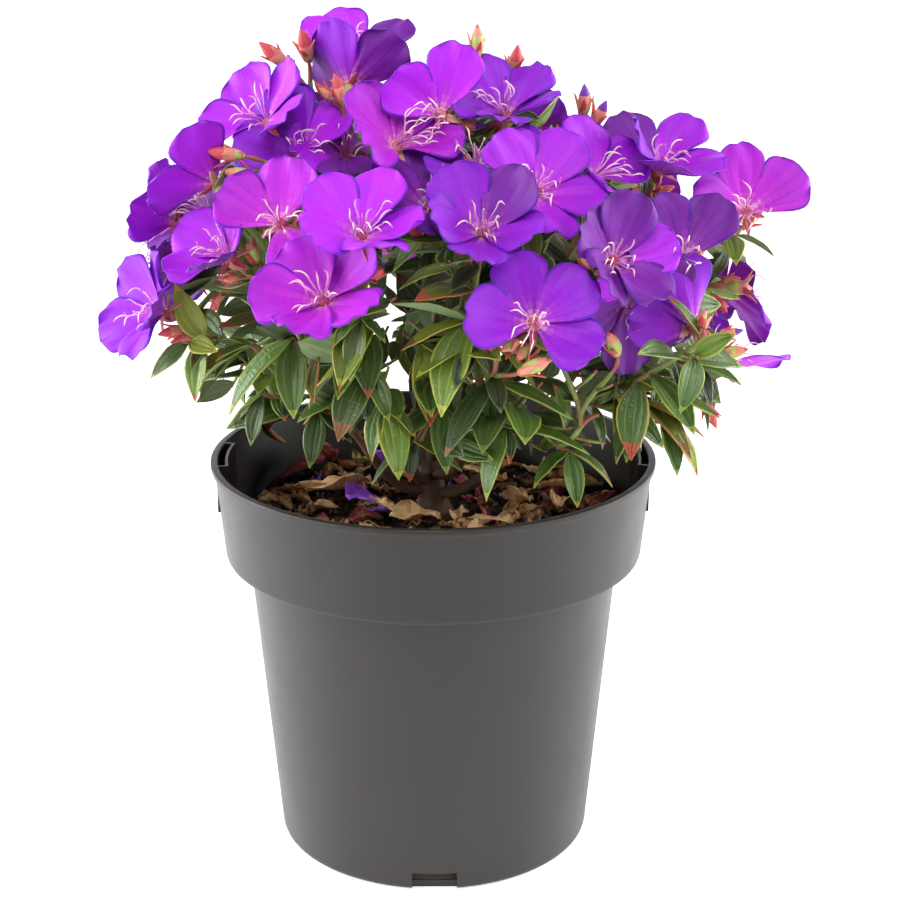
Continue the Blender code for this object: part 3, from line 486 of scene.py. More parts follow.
# %% Crumbs, bark flakes and root threads
CRUMBS, FLAKES, THREADS = 3000, 360, 70
cube = np.array([(x, y, z) for x in (-1, 1) for y in (-1, 1) for z in (-1, 1)], float)
CRUMB_SIZES = ((0.8, 0.8, 0.6), (3.4, 3.0, 2.4))
FLAKE_SIZES = ((3.0, 1.6, 0.5), (9.0, 4.5, 1.3))
CRUMB_SHARES = (0.42, 0.25, 0.17, 0.1, 0.06)  # of each tint, darkest first
FLAKE_SHARES = (0.35, 0.3, 0.2, 0.15)


def scatter(count, sizes, rng):
    """Lumps strewn over the mix: a box each, with its corners pushed about and turned."""
    r = (edge_radius - 2.5) * np.sqrt(rng.random(count))
    a = rng.uniform(0, 2 * math.pi, count)
    size = rng.uniform(sizes[0], sizes[1], (count, 3)) / 2
    corners = cube[None] * size[:, None] * rng.uniform(0.45, 1.15, (count, 8, 1))
    axes = np.linalg.qr(rng.normal(size=(count, 3, 3)) + 1.5 * np.eye(3))[0]
    corners = np.einsum("nij,nvj->nvi", axes, corners)
    x, y = r * np.cos(a), r * np.sin(a)
    z = ground(x, y) + size[:, 2] * 0.5
    return corners + np.stack([x, y, z], 1)[:, None]


def lumps(corners, tints):
    """The lumps as one shape with square-cornered faces."""
    count = len(corners)
    faces = (np.array(BOX_FACES)[None] + 8 * np.arange(count)[:, None, None]).reshape(-1, 4)
    return corners.reshape(-1, 3), faces, np.repeat(tints, 6), np.zeros((8 * count, 2))


rng = np.random.default_rng(SEED)
small = lumps(scatter(CRUMBS, CRUMB_SIZES, rng), rng.choice(5, CRUMBS, p=CRUMB_SHARES))
flakes = lumps(scatter(FLAKES, FLAKE_SIZES, rng), rng.choice([2, 3, 4, 5], FLAKES, p=FLAKE_SHARES))
threads = []
for _ in range(THREADS):
    a, r, way = rng.uniform(0, 6.28), (edge_radius - 12) * math.sqrt(rng.random()), rng.uniform(0, 6.28)
    length = rng.uniform(8, 22)
    bendy = way + np.cumsum(rng.normal(0, 0.35, 7))
    x = r * math.cos(a) + np.cumsum(np.cos(bendy)) * length / 7
    y = r * math.sin(a) + np.cumsum(np.sin(bendy)) * length / 7
    if (np.hypot(x, y) < edge_radius - 2).all():
        path = np.stack([x, y, ground(x, y) + 1.2 + rng.uniform(-0.4, 1.2, 7)], 1)
        threads.append(tube(path, np.linspace(0.45, 0.2, 7), 4, int(rng.choice([3, 5]))))
crumb_family = family(
    ("peat_black", "17100b", 0.95),
    ("peat_brown", "2b1d13", 0.93),
    ("bark_crumb_dark", "3d2718", 0.88),
    ("bark_crumb_red", "5c3822", 0.85),
    ("wood_fibre_tan", "9a7448", 0.85),
    ("dry_root_pale", "a58a63", 0.85),
)
for made in crumb_family:
    emboss(made, grain(made, 0.7, 3.0), 0.25)
joined("mix_crumbs", [small, flakes] + threads, crumb_family, ["soil"], crease=30)

# %% [markdown]
# ## How the plant grows
#
# The shrub has one short trunk. Twelve boughs leave it at different heights, and each
# bears one mass of the crown. Every twig leaves the place on an older twig from which it
# has the shortest and straightest way to its own end, so wood and blossom belong together
# as on the real plant. An end is a bloom, a bud or a leafy tip. A heading is the
# angle from the front of the pot towards its right side, and a rise the angle above the
# horizontal, both in degrees. Blossom and tips that the front shows are named one by one,
# and a rule sets out those of the sides and the back.

# %% What each mass reaches for
# Each mass of the crown, and how high above the mix its bough leaves the trunk, in mm.
MASSES = {
    "mass_top": 42, "mass_upper_left": 36, "mass_left": 28, "mass_low_left": 14,
    "mass_front_left": 20, "mass_front": 31, "mass_front_right": 22, "mass_right": 13,
    "mass_upper_right": 34, "mass_back_right": 25, "mass_back": 33, "mass_back_left": 21,
}
NAMES = list(MASSES)

# The blossom that the front shows, for each mass: x, y, z of the throat, heading, rise,
# turn of the first petal from the top, which of the five petals are left, opening, and
# the tone, by its number in BLOSSOM_TONES. Here tone 3, deep, is partly painted shade:
# it darkens blooms that lie in the shade of other blooms or face away.
BLOSSOM = {
    "mass_top": (
        (-31, 4, 359, 0, 62, -25, "11001", 70, 2),
        (-34, -16, 349, 160, 30, 20, "11001", 60, 3),
        (3, -52, 342, 0, 14, -54, "11000", 74, 2),
        (30, -34, 340, 0, 66, -30, "11111", 52, 1),
        (-14, -58, 331, 35, 52, -34, "11101", 54, 4),
    ),
    "mass_upper_left": (
        (-70, -25, 336, -45, 45, -50, "11101", 58, 0),
        (-54, -30, 325, -10, 45, -25, "11001", 60, 1),
        (-36, -24, 322, 0, 62, -40, "11011", 56, 3),
    ),
    "mass_left": (
        (-89, -45, 314, -140, 25, 30, "11000", 66, 0),
        (-112, -8, 289, -105, 5, 0, "11011", 62, 0),
        (-83, -62, 287, -50, 46, -12, "11111", 46, 0),
    ),
    "mass_low_left": (
        (-114, -44, 259, -60, 26, 10, "11111", 48, 1),
    ),
    "mass_front_left": (
        (-60, -80, 304, -10, 40, -66, "11010", 60, 4),
        (-27, -103, 304, 5, 62, 24, "11111", 50, 2),
        (-42, -110, 280, -20, 50, -35, "11111", 54, 4),
    ),
    "mass_front": (
        (-1, -68, 308, 20, 50, 12, "11111", 54, 3),
        (19, -98, 304, 0, 50, -30, "11111", 52, 1),
        (17, -62, 324, 0, 60, 0, "11011", 56, 1),
    ),
    "mass_front_right": (
        (41, -78, 316, 25, 50, -25, "11111", 54, 0),
        (39, -112, 272, 12, 32, -14, "11101", 60, 1),
        (66, -52, 317, 60, 45, 20, "11010", 60, 0),
    ),
    "mass_right": (
        (71, -90, 291, 35, 36, 20, "11111", 52, 3),
        (80, -72, 270, 20, -15, 40, "11111", 60, 3),
        (100, -72, 288, 12, 46, -28, "11001", 58, 3),
        (104, -78, 261, -160, 0, 10, "11000", 70, 1),
        (121, -38, 234, 60, 66, 180, "10000", 78, 2),
    ),
    "mass_upper_right": (
        (93, -32, 317, 10, 64, -28, "11111", 54, 0),
        (132, -28, 298, 18, 34, -8, "11001", 60, 4),
        (135, -20, 263, 80, 0, 0, "00000", 60, 0),
    ),
}

# How many blooms the rule sets out in each mass, for the sides and the back.
MORE_BLOSSOM = {
    "mass_top": 3, "mass_upper_left": 2, "mass_left": 1, "mass_low_left": 1, "mass_upper_right": 2,
    "mass_back_right": 5, "mass_back": 5, "mass_back_left": 5,
}

# Buds that stand out, for each mass: x, y, z of the bud's foot, heading, rise.
BUDS = {
    "mass_upper_left": (
        (-61, -8, 356, -60, 40),
        (-52, -6, 358, -20, 60),
    ),
    "mass_top": (
        (18, -18, 360, 10, 80),
        (33, -12, 352, 30, 70),
        (44, -8, 344, 50, 60),
    ),
    "mass_left": (
        (-77, -48, 325, -80, 10),
        (-70, -50, 316, -70, 15),
    ),
    "mass_upper_right": (
        (62, -30, 338, 0, 75),
        (66, -32, 334, 50, 60),
    ),
    "mass_right": (
        (82, -60, 300, -20, 70),
        (117, -58, 243, 60, 20),
    ),
    "mass_front": (
        (24, -104, 256, -30, 60),
        (34, -106, 250, 50, 30),
    ),
    "mass_front_right": (
        (74, -80, 250, -30, 50),
    ),
}

# Leafy tips that the front shows, for each mass: x, y, z of the tip, then its leaves,
# each by heading, rise and length.
SPRAYS = {
    "mass_front": (
        (29, -88, 222, ((80, 0, 36), (-85, 10, 24), (20, -50, 15), (-40, -50, 31))),
        (23, -94, 243, ((75, -15, 36), (-50, -40, 36), (-10, -70, 17))),
        (14, -88, 266, ((-35, -48, 40), (30, -70, 28), (-80, -12, 29), (-70, 25, 34))),
        (-5, -70, 252, ((-60, -30, 34), (10, -62, 32), (62, -20, 28))),
        (4, -66, 226, ((-70, -30, 32), (0, -60, 30), (65, -30, 30))),
        (-8, -58, 206, ((-70, -25, 26), (80, -20, 24), (-20, -50, 17))),
    ),
    "mass_front_left": (
        (-27, -84, 246, ((40, -40, 24), (-45, -35, 33), (10, -35, 22))),
        (-20, -78, 230, ((30, -55, 33), (-20, -60, 25), (60, -30, 20))),
        (-28, -98, 270, ((-25, -60, 25), (60, -20, 14), (-70, -30, 16))),
        (-56, -84, 258, ((-60, -30, 40), (-5, -62, 32))),
        (-48, -60, 220, ((-10, -50, 24), (60, -25, 20))),
    ),
    "mass_low_left": (
        (-76, -50, 246, ((-80, -20, 26), (-40, 10, 20), (-110, 15, 18))),
        (-84, -30, 240, ((-95, -25, 24), (-60, -10, 22), (160, 0, 20))),
        (-72, -48, 224, ((-40, -60, 22), (-90, -30, 20))),
    ),
    "mass_right": (
        (84, -76, 238, ((75, -15, 36), (-80, 5, 28), (-30, -65, 33))),
        (86, -66, 226, ((80, -15, 30), (-60, -60, 28), (50, -30, 32), (-30, -60, 26))),
        (108, -58, 240, ((70, -10, 22), (30, -35, 20), (110, -20, 24))),
        (96, -50, 212, ((40, -45, 24), (85, -35, 28))),
    ),
    "mass_front_right": (
        (56, -70, 206, ((20, -60, 24), (-60, -20, 22), (80, -20, 24))),
    ),
}

# How many leafy tips the rule sets out in each mass.
MORE_SPRAYS = {
    "mass_left": 2, "mass_upper_left": 2, "mass_front_right": 2, "mass_right": 1,
    "mass_upper_right": 2, "mass_back_right": 3, "mass_back": 3, "mass_back_left": 4, "mass_top": 1,
}

# Where the rule sets out blossom and leafy tips: mass, heading of its middle and
# half the angle that it takes up, both in degrees.
SECTORS = {
    "mass_top": (180, 80),
    "mass_upper_left": (-105, 25),
    "mass_left": (-95, 18),
    "mass_low_left": (-80, 22),
    "mass_front": (5, 15),
    "mass_front_right": (35, 12),
    "mass_right": (65, 15),
    "mass_upper_right": (106, 14),
    "mass_back_right": (128, 22),
    "mass_back": (178, 24),
    "mass_back_left": (-132, 24),
}
CROWN_MIDDLE = np.array([6.0, 0.0, 222.0])
CROWN_RADII = np.array([140.0, 128.0, 124.0])
BLOOM_RISES = (2, 46)
TOP_BLOOM_RISES = (52, 66)
BLOOM_SHARES = (0.93, 0.98)  # of the way out to the crown's outline
BLOOM_OPENINGS = (58, 72)
BLOOM_SWAY = 45  # mm by which a bloom's facing strays
SPRAY_RISES = (-8, 32)
TOP_SPRAY_RISES = (40, 60)
SPRAY_SHARES = (0.74, 0.82)
GOLDEN_STEP = 0.618  # spreads a row of things evenly however many there are

# %% The rule for blossom and tips
def towards(heading, rise):
    """The unit vector of a heading and a rise."""
    h, r = math.radians(heading), math.radians(rise)
    return np.array([math.sin(h) * math.cos(r), -math.cos(h) * math.cos(r), math.sin(r)])


def crown_point(heading, rise, share=1.0):
    """A point on the crown's outline, or at a share of the way out to it."""
    way = towards(heading, rise)
    reach = 1 / math.sqrt(float(((way / CROWN_RADII) ** 2).sum()))
    return CROWN_MIDDLE + way * reach * share


def targets_of_all():
    """For each mass its targets: kind, place, facing, and what its kind needs."""
    rng = np.random.default_rng(SEED)
    found = {name: [] for name in NAMES}
    for mass in NAMES:
        for *place, heading, rise, turn, petals, opening, tone in BLOSSOM.get(mass, ()):
            data = (turn, petals, opening, tone)
            found[mass].append(("bloom", np.array(place, float), towards(heading, rise), data))
        for *place, heading, rise in BUDS.get(mass, ()):
            found[mass].append(("bud", np.array(place, float), towards(heading, rise), ()))
        for *place, leaves in SPRAYS.get(mass, ()):
            place = np.array(place, float)
            found[mass].append(("spray", place, unit(place - CROWN_MIDDLE + 30 * UP), leaves))
    for mass, count in MORE_BLOSSOM.items():
        middle, half = SECTORS[mass]
        low, high = TOP_BLOOM_RISES if mass == "mass_top" else BLOOM_RISES
        for k in range(count):
            heading = middle + half * (2 * ((k * GOLDEN_STEP + 0.3) % 1) - 1)
            rise = low + (high - low) * (k + 0.5) / count
            place = crown_point(heading, rise, rng.uniform(*BLOOM_SHARES))
            facing = unit(place - CROWN_MIDDLE + rng.uniform(-BLOOM_SWAY, BLOOM_SWAY, 3) + 15 * UP)
            turn = float(rng.uniform(0, 72))
            opening = float(rng.uniform(*BLOOM_OPENINGS))
            found[mass].append(("bloom", place, facing, (turn, "11111", opening, None)))
    for mass, count in MORE_SPRAYS.items():
        middle, half = SECTORS[mass]
        low, high = TOP_SPRAY_RISES if mass == "mass_top" else SPRAY_RISES
        for k in range(count):
            heading = middle + half * (2 * ((k * GOLDEN_STEP + 0.55) % 1) - 1)
            rise = low + (high - low) * (k + 0.5) / count
            place = crown_point(heading, rise, rng.uniform(*SPRAY_SHARES))
            found[mass].append(("spray", place, unit(place - CROWN_MIDDLE + 25 * UP), ()))
    return found


targets = targets_of_all()
print("ends of twigs:", {name: len(found) for name, found in targets.items()})

# %% Trunk, boughs and twigs as curves
TRUNK_HEIGHT, TRUNK_TOP_RADIUS, TRUNK_WAIST_RADIUS = 42.0, 4.6, 6.4
ROOT_FLARE, FLARE_HEIGHT, ROOT_LOBES, LOBE_SHARE, TRUNK_LEAN = 6.5, 4.5, 5, 0.16, 3.0
BOUGH_ROOT_RADIUS, BOUGH_TIP_RADIUS, BOUGH_SHARE, BOUGH_LIFT = 2.7, 1.75, 0.42, 0.25
STEM_RADIUS, TWIG_ROOT_RADIUS = 1.6, 1.3
TWIG_STEP, TWIG_START, TURN_COST, FOOT_COST, SHORTEST_TWIG = 34.0, (0.12, 0.86), 22.0, 0.25, 9.0
CALYX_LENGTH = 8.5


def trunk_radius(height):
    """Radius at a height above the soil: a flared foot, then a slow taper."""
    taper = TRUNK_WAIST_RADIUS + (TRUNK_TOP_RADIUS - TRUNK_WAIST_RADIUS) * height / TRUNK_HEIGHT
    return taper + ROOT_FLARE * math.exp(-height / FLARE_HEIGHT)


def trunk_middle(height):
    """The middle of the trunk, which leans a little to the left and back."""
    share = max(height, 0.0) / TRUNK_HEIGHT
    return np.array([-TRUNK_LEAN * share**1.4, 0.6 * TRUNK_LEAN * share, SOIL_HEIGHT + GAP + height])


def bend(start, start_dir, end, end_dir, reach=0.36):
    """The four control points of a limb that leaves and arrives as asked."""
    span = float(np.linalg.norm(end - start)) * reach
    return np.array([start, start + start_dir * span, end - end_dir * span, end])


def along(curve, t):
    """Points and directions of a curve at the parameters t."""
    t = np.asarray(t, float)[:, None]
    s = 1 - t
    a, b, c, d = curve
    place = a * s**3 + 3 * b * s**2 * t + 3 * c * s * t**2 + d * t**3
    way = 3 * (b - a) * s**2 + 6 * (c - b) * s * t + 3 * (d - c) * t**2
    return place, way / np.linalg.norm(way, axis=1)[:, None]


def length_of(curve):
    place = along(curve, np.linspace(0, 1, 13))[0]
    return float(np.linalg.norm(np.diff(place, axis=0), axis=1).sum())


def grow(leave_height, targets):
    """The bough of a mass and its twigs: each a curve, with the target that it ends in."""
    ends = []
    for kind, place, facing, _ in targets:
        ends.append(place - facing * CALYX_LENGTH if kind == "bloom" else place)
    middle = np.mean(ends, axis=0)
    root = trunk_middle(leave_height)
    flat = unit((middle - root) * np.array([1, 1, 0]))
    start, start_dir = root + GAP * UP, UP
    if leave_height < TRUNK_HEIGHT:
        start = root + flat * (trunk_radius(leave_height) + GAP + BOUGH_LIFT * BOUGH_ROOT_RADIUS)
        start_dir = unit(flat + BOUGH_LIFT * UP)
    entry = root + (middle - root) * BOUGH_SHARE
    entry_dir = unit(unit(middle - entry) + BOUGH_LIFT * UP)
    bough = bend(start, start_dir, entry, entry_dir)
    order = sorted(range(len(ends)), key=lambda k: -float(np.linalg.norm(ends[k] - entry)))
    leader = order[0]
    twigs = [(bend(entry, entry_dir, ends[leader], targets[leader][2]), leader, STEM_RADIUS)]
    for k in reversed(order[1:]):
        choices = []
        for curve, _, _ in twigs:
            knots = np.linspace(0, 1, max(1, round(length_of(curve) / TWIG_STEP)) + 1)
            starts = np.linspace(*TWIG_START, 14)
            place, way = along(curve, starts)
            bends = along(curve, knots)[0]
            straight = np.stack([np.interp(starts, knots, bends[:, axis]) for axis in range(3)], 1)
            gap = ends[k] - straight
            far = np.linalg.norm(gap, axis=1)
            turn = 1 - (gap * way).sum(1) / np.maximum(far, 1e-6)
            cost = far + TURN_COST * turn + FOOT_COST * np.linalg.norm(straight - entry, axis=1)
            cost[far < SHORTEST_TWIG] += 1000
            at = int(np.argmin(cost))
            choices.append((float(cost[at]), place[at], way[at]))
        _, place, way = min(choices, key=lambda choice: choice[0])
        start_dir = unit(way * 0.7 + unit(ends[k] - place))
        twigs.append((bend(place, start_dir, ends[k], targets[k][2]), k, TWIG_ROOT_RADIUS))
    return bough, twigs


grown = {name: grow(height, targets[name]) for name, height in MASSES.items()}
print("twigs:", sum(len(twigs) for _, twigs in grown.values()))

# %% [markdown]
# ## Wood and stems
#
# The trunk is thin and woody, with bark that splits along the grain and a foot that
# flares into the roots. The boughs are still young wood: reddish brown, with a ring at
# every node where a pair of leaves once stood. Towards their tips the twigs are green
# stems, tinged with red. The ridges of the bark are real relief in the mesh, because at
# this size a flat skin would catch the light as one smooth streak.

# %% Trunk and boughs
NODE_STEP = 13.0
wood_family = family(
    ("bark_of_old_wood", "4f3b2c", 0.86),
    ("bark_of_young_wood", "7b5436", 0.78),
    ("stem_brown_green", "7a6a3a", 0.62),
    ("stem_green", "7f8f45", 0.52),
    ("stem_reddish", "9a5a4a", 0.52),
)
for made in wood_family[:2]:
    emboss(made, grain(made, 0.8, 6.0), 0.25)
for made in wood_family[2:]:
    emboss(made, grain(made, 0.5, 3.0), 0.06)

heights = np.concatenate([np.linspace(-2.5, 12, 16), np.linspace(13.5, TRUNK_HEIGHT + 1.5, 22)])
sides = 36
turn = np.arange(sides) * 2 * math.pi / sides
rings = []
for height in heights:
    lobes = LOBE_SHARE * math.exp(-max(height, 0) / FLARE_HEIGHT) * np.cos(ROOT_LOBES * turn + 0.6)
    ridge = 0.42 * ripple(turn * 9.0, np.full(sides, height * 0.35), 6.0, 3)
    ridge = ridge + 0.16 * ripple(turn * 9.0, np.full(sides, height), 3.0, 4)
    radius = trunk_radius(max(height, 0)) * (1 + lobes) + ridge * np.sin(turn / 2) ** 0.25
    if height > TRUNK_HEIGHT:
        radius = radius * 0.75
    middle = trunk_middle(height)
    rings.append(middle + radius[:, None] * np.stack([np.cos(turn), np.sin(turn), np.zeros(sides)], 1))
faces, _ = tube_faces(len(rings), sides)
no_spread = np.zeros((sides * len(rings), 2))
trunk_shape = (np.concatenate(rings), faces, np.zeros(len(faces), int), no_spread)
joined("trunk_wood", [trunk_shape], wood_family[:1], ["trunk"])

bough_shapes = []
for name, height in MASSES.items():
    bough, twigs = grown[name]
    place = along(bough, np.linspace(0, 1, max(8, int(length_of(bough) / 2.2))))[0]
    path = np.concatenate([trunk_middle(min(height, TRUNK_HEIGHT) - 1.5)[None], place])
    share = np.linspace(0, 1, len(path))
    radii = BOUGH_ROOT_RADIUS + (BOUGH_TIP_RADIUS - BOUGH_ROOT_RADIUS) * share
    far = share * length_of(bough)
    radii = radii + 0.45 * np.exp(-(((far % NODE_STEP) - NODE_STEP / 2) ** 2) / 1.6)
    radii = radii + 0.16 * ripple(far, far, 5.0, 5)
    bough_shapes.append(tube(path, radii, 10, np.where(share[1:] > 0.72, 1, 0)))
joined("bough_wood", bough_shapes, wood_family[:2], [n.replace("mass", "bough") for n in NAMES])

# %% Twigs
twig_shapes = []
for name in NAMES:
    for curve, k, root_radius in grown[name][1]:
        length = length_of(curve)
        t = np.linspace(0, 1, max(6, int(length / 2.4)))
        place = along(curve, t)[0]
        tip = 0.95 if targets[name][k][0] == "bloom" else 0.75
        radii = root_radius + (tip - root_radius) * t
        back = (1 - t) * length
        radii = radii + 0.38 * np.exp(-(((back + 2) % NODE_STEP - NODE_STEP / 2) ** 2) / 1.1)
        tint = np.where(back[1:] < 9, 4, np.where(back[1:] < 34, 3, np.where(back[1:] < 62, 2, 1)))
        twig_shapes.append(tube(place, radii, 8, tint))
joined("twigs", twig_shapes, wood_family, NAMES)

# %% [markdown]
# ## Petals
#
# A bloom has five broad petals, like the blades of a pinwheel: narrow where they leave
# the cup, widest near the outer edge, each with one rim over its neighbour. They are as
# soft as tissue, so they cup, droop, and ripple along the edge. The violet is deep, with
# fine branching veins, and pales to pink at the throat. Petals are first set out as
# plain blades, each turned or closed a little where it would run into another bloom,
# and the fine petal then takes the place of the blade.

# %% Where each petal goes
PETAL_LENGTH, PETAL_WIDTH, PETAL_THICKNESS = 29.5, 24.0, 0.7
PETAL_TRIES = ((0, 0), (0, -10), (0, 9), (10, -5), (-10, -5), (0, -20), (14, -18), (-14, -18), (0, -30))
PETAL_OUTLINE = ((0, 0), (0.76, 1.0), (0.99, 0.5), (0.99, -0.5), (0.76, -1.0))
POT_MARGIN = 1.5


def blade(root, way, normal, outline, middle, size, droop, cup):
    """A thin closed blade with a keel below, its outline in shares of length and half width."""
    length, width, thickness = size
    side = np.cross(way, normal)
    verts = []
    for t, w in outline:
        lift = cup * width / 2 * w * w - droop * length * t * t
        verts.append(root + way * (t * length) + side * (w * width / 2) + normal * lift)
    verts.append(root + way * (middle * length) - normal * (thickness + droop * length * middle**2))
    n = len(outline)
    faces = [(0, 1, n - 1)] + [(1, k, k + 1) for k in range(2, n - 1)]
    return np.array(verts), faces + [(n, (k + 1) % n, k) for k in range(n)]


def tree_of(shapes):
    """One search tree over many (points, faces) shapes, in mm."""
    verts, polys = [], []
    for points, faces in shapes:
        base = len(verts)
        verts += [Vector(p) for p in points]
        polys += [tuple(i + base for i in f) for f in faces]
    return BVHTree.FromPolygons(verts, polys) if polys else None


def meets(shape, tree):
    return tree is not None and bool(tree.overlap(tree_of([shape])))


def out_of_pot(verts):
    """True if a piece is neither in the potting mix nor through the pot's wall."""
    r = np.hypot(verts[:, 0], verts[:, 1])
    mouth = COLLAR_TOP_RADIUS - WALL - HANGER_CLEAR - HANGER_WALL - POT_MARGIN
    inside = (r < mouth) & (verts[:, 2] > SOIL_HEIGHT + 2.2 + POT_MARGIN)
    return bool((inside | (verts[:, 2] > RIM_HEIGHT + POT_MARGIN)).all())


def petal_axes(throat, facing, angle, opening):
    """Root, way, inner side and radial direction of a petal."""
    up, side = frame_of(facing, UP)
    o = math.radians(opening)
    radial = spoke(up, side, math.radians(angle))
    way = facing * math.cos(o) + radial * math.sin(o)
    return throat - facing * 1.8 + radial * 0.3, way, facing * math.sin(o) - radial * math.cos(o)


size = (PETAL_LENGTH, PETAL_WIDTH, PETAL_THICKNESS)
blooms, petal_blades = [], {name: [] for name in NAMES}
for name in NAMES:
    foreign = tree_of([shape for other in NAMES if other != name for shape in petal_blades[other]])
    for _, k, _ in grown[name][1]:
        kind, place, facing, data = targets[name][k]
        if kind != "bloom":
            continue
        turn, left, opening, tone = data
        crowd = tree_of(petal_blades[name])
        own, kept = [], []
        for j in [j for j, here in enumerate(left) if here == "1"]:
            fitting = []
            for more_turn, more_opening in PETAL_TRIES:
                axes = petal_axes(place, facing, turn + 72 * j + more_turn, opening + more_opening)
                shape = blade(*axes, PETAL_OUTLINE, 0.55, size, 0.10, 0.12)
                if out_of_pot(shape[0]) and not meets(shape, foreign):
                    fitting.append((axes, shape))
            free = [f for f in fitting if not meets(f[1], crowd)]
            for axes, shape in (free or fitting)[:1]:
                own.append(shape)
                kept.append(axes)
        petal_blades[name] += own
        blooms.append((place, facing, kept, tone))
print("blooms:", len(blooms), "petals:", sum(len(kept) for _, _, kept, _ in blooms))

# %% The fine petals
PETAL_T = np.array([0, 0.04, 0.10, 0.18, 0.28, 0.39, 0.50, 0.61, 0.71, 0.80, 0.88, 0.94, 0.98, 1.0])
PETAL_HALF = np.array([0.09, 0.12, 0.18, 0.28, 0.42, 0.58, 0.73, 0.87, 0.96, 1.0, 0.97, 0.89, 0.80, 0.70])
PETAL_X = np.array([-1, -0.92, -0.7, -0.65, -0.4, -0.35, -0.03, 0.03, 0.35, 0.4, 0.65, 0.7, 0.92, 1])
PETAL_SKIN = 0.3


def petal_grid(root, way, normal, rng):
    """One petal as a curved grid from its claw to its outer edge."""
    length = PETAL_LENGTH * rng.uniform(0.90, 1.05)
    half = 13.0 * rng.uniform(0.86, 1.04)
    x, t = np.meshgrid(PETAL_X, PETAL_T)
    width = PETAL_HALF[:, None] * half
    notch = 1 - 0.14 * np.abs(x) ** 2.6 - 0.035 * np.exp(-((x / 0.28) ** 2)) * rng.uniform(0, 1.4)
    forth = t * length * notch
    roll = rng.uniform(0.08, 0.26)
    cup = rng.uniform(0.2, 3.4) * x**2 * np.sin(math.pi * np.minimum(t * 1.08, 1))
    belly = -rng.uniform(0.4, 2.2) * np.sin(math.pi * t)
    droop = -length * rng.uniform(0.02, 0.22) * t**2.6
    edge = np.clip((np.maximum(np.abs(x), t) - 0.55) / 0.45, 0, 1) ** 1.5
    wave = edge * rng.uniform(0.6, 1.6) * np.sin(rng.uniform(5, 9) * (x + 0.7 * t) + rng.uniform(0, 6.3))
    middle = np.exp(-((x / 0.10) ** 2)) * np.sin(math.pi * np.clip(t * 1.1, 0, 1))
    fold = -0.9 * middle * rng.uniform(0.3, 0.9)
    crease = 0.3 * np.sin(4.4 * math.pi * x * (0.4 + 0.6 * t) + rng.uniform(0, 6)) * t * (1 - t) * 4
    rumple = 0.5 * np.sin(rng.uniform(4, 7) * t + rng.uniform(2, 4) * x + rng.uniform(0, 6)) * t
    lift = cup + belly + droop + wave + fold + crease + rumple + roll * x * width * t
    return placed(x * width, forth, lift, root, np.cross(way, normal), way, normal)


THROAT = "f7ccc8"
# The deep tone is a random tone among the blooms that the rule sets out, and painted shade on the named
# blooms that lie in the shade of others.
BLOSSOM_TONES = (
    ("violet", "a40cce", "940ac8"),
    ("blue_violet", "8c08c4", "7c06ba"),
    ("bright", "b61ae2", "a614dc"),
    ("deep", "72069a", "600484"),
    ("magenta", "b010c4", "9e0cbe"),
)
PALE_SHARE = (0.0, 0.38, 0.70, 0.87, 0.96)
OUTER_SHARE = (0.0, 0.35, 0.7, 1.0)
petal_family = []
for tone, inner, outer in BLOSSOM_TONES:
    tones = [between(THROAT, inner, share) for share in PALE_SHARE]
    tones += [between(inner, outer, share) for share in OUTER_SHARE]
    tones.append(between(outer, "3c0a98", 0.45))
    for step, colour in enumerate(tones):
        zone_name = f"petal_{tone}_zone_{step + 1}"
        petal_family.append(surface(zone_name, colour, 0.55, IOR=1.42, Sheen_Weight=0.05))
ZONES = len(PALE_SHARE) + len(OUTER_SHARE) + 1
for made in petal_family:
    emboss(made, streaks(made, 34.0, 3.0, 3.0), 0.18)

# The tone of a face: pale at the claw, violet outwards, with a darker rim. Beside the
# narrow vein columns every second field is one step further on, which breaks the rings.
PETAL_ZONE = np.repeat(np.array([0, 0, 1, 2, 3, 4, 5, 6, 6, 7, 7, 8, 8])[:, None], len(PETAL_X) - 1, 1)
VEIN_COLUMNS_OF_PETAL = [2, 4, 6, 8, 10]
PETAL_ZONE[2:, [3, 9]] += 1
PETAL_ZONE[2:9, VEIN_COLUMNS_OF_PETAL] += 2
PETAL_ZONE = np.minimum(PETAL_ZONE, ZONES - 2)
PETAL_ZONE[3:8, VEIN_COLUMNS_OF_PETAL] = np.maximum(PETAL_ZONE[3:8, VEIN_COLUMNS_OF_PETAL], 6)
PETAL_ZONE[6:, [0, -1]] = ZONES - 1
PETAL_ZONE[-1] = ZONES - 1

# One bloom has a single petal left, which the front sees edge on: its throat, then the
# facing and the turn that its petal has.
LAST_PETAL_THROAT = (121.0, -38.0, 234.0)
LAST_PETAL_FACING, LAST_PETAL_TURN, LAST_PETAL_OPENING = towards(-144, 68), -60, 86

TONE_SHARES = (0.32, 0.24, 0.16, 0.14, 0.14)  # of the blooms that the rule sets out
rng = np.random.default_rng(SEED + 1)
petal_shapes = []
for throat, facing, kept, tone in blooms:
    any_tone = int(rng.choice(5, p=TONE_SHARES))
    tone = any_tone if tone is None else tone
    if tuple(throat) == LAST_PETAL_THROAT:
        kept = [petal_axes(throat, LAST_PETAL_FACING, LAST_PETAL_TURN, LAST_PETAL_OPENING)]
    for root, way, normal in kept:
        one = tone if rng.random() < 0.84 else int(rng.integers(5))
        grid = petal_grid(root, way, normal, rng)
        tints = PETAL_ZONE + ZONES * one
        petal_shapes.append(sheet(grid, PETAL_SKIN, tints, tints, ZONES - 1 + ZONES * one))
joined("petals", petal_shapes, petal_family, NAMES)

# %% Room between pieces
def sampled(shape, every=1):
    """Points strewn over a shape: the middle and one corner of its faces."""
    corners = shape[0][shape[1]]
    return np.concatenate([corners.mean(1), corners[:, 0]])[::every]


def tree_of_points(points):
    """A search tree that finds the point nearest to a place."""
    tree = KDTree(len(points))
    for k, point in enumerate(points):
        tree.insert(point, k)
    tree.balance()
    return tree


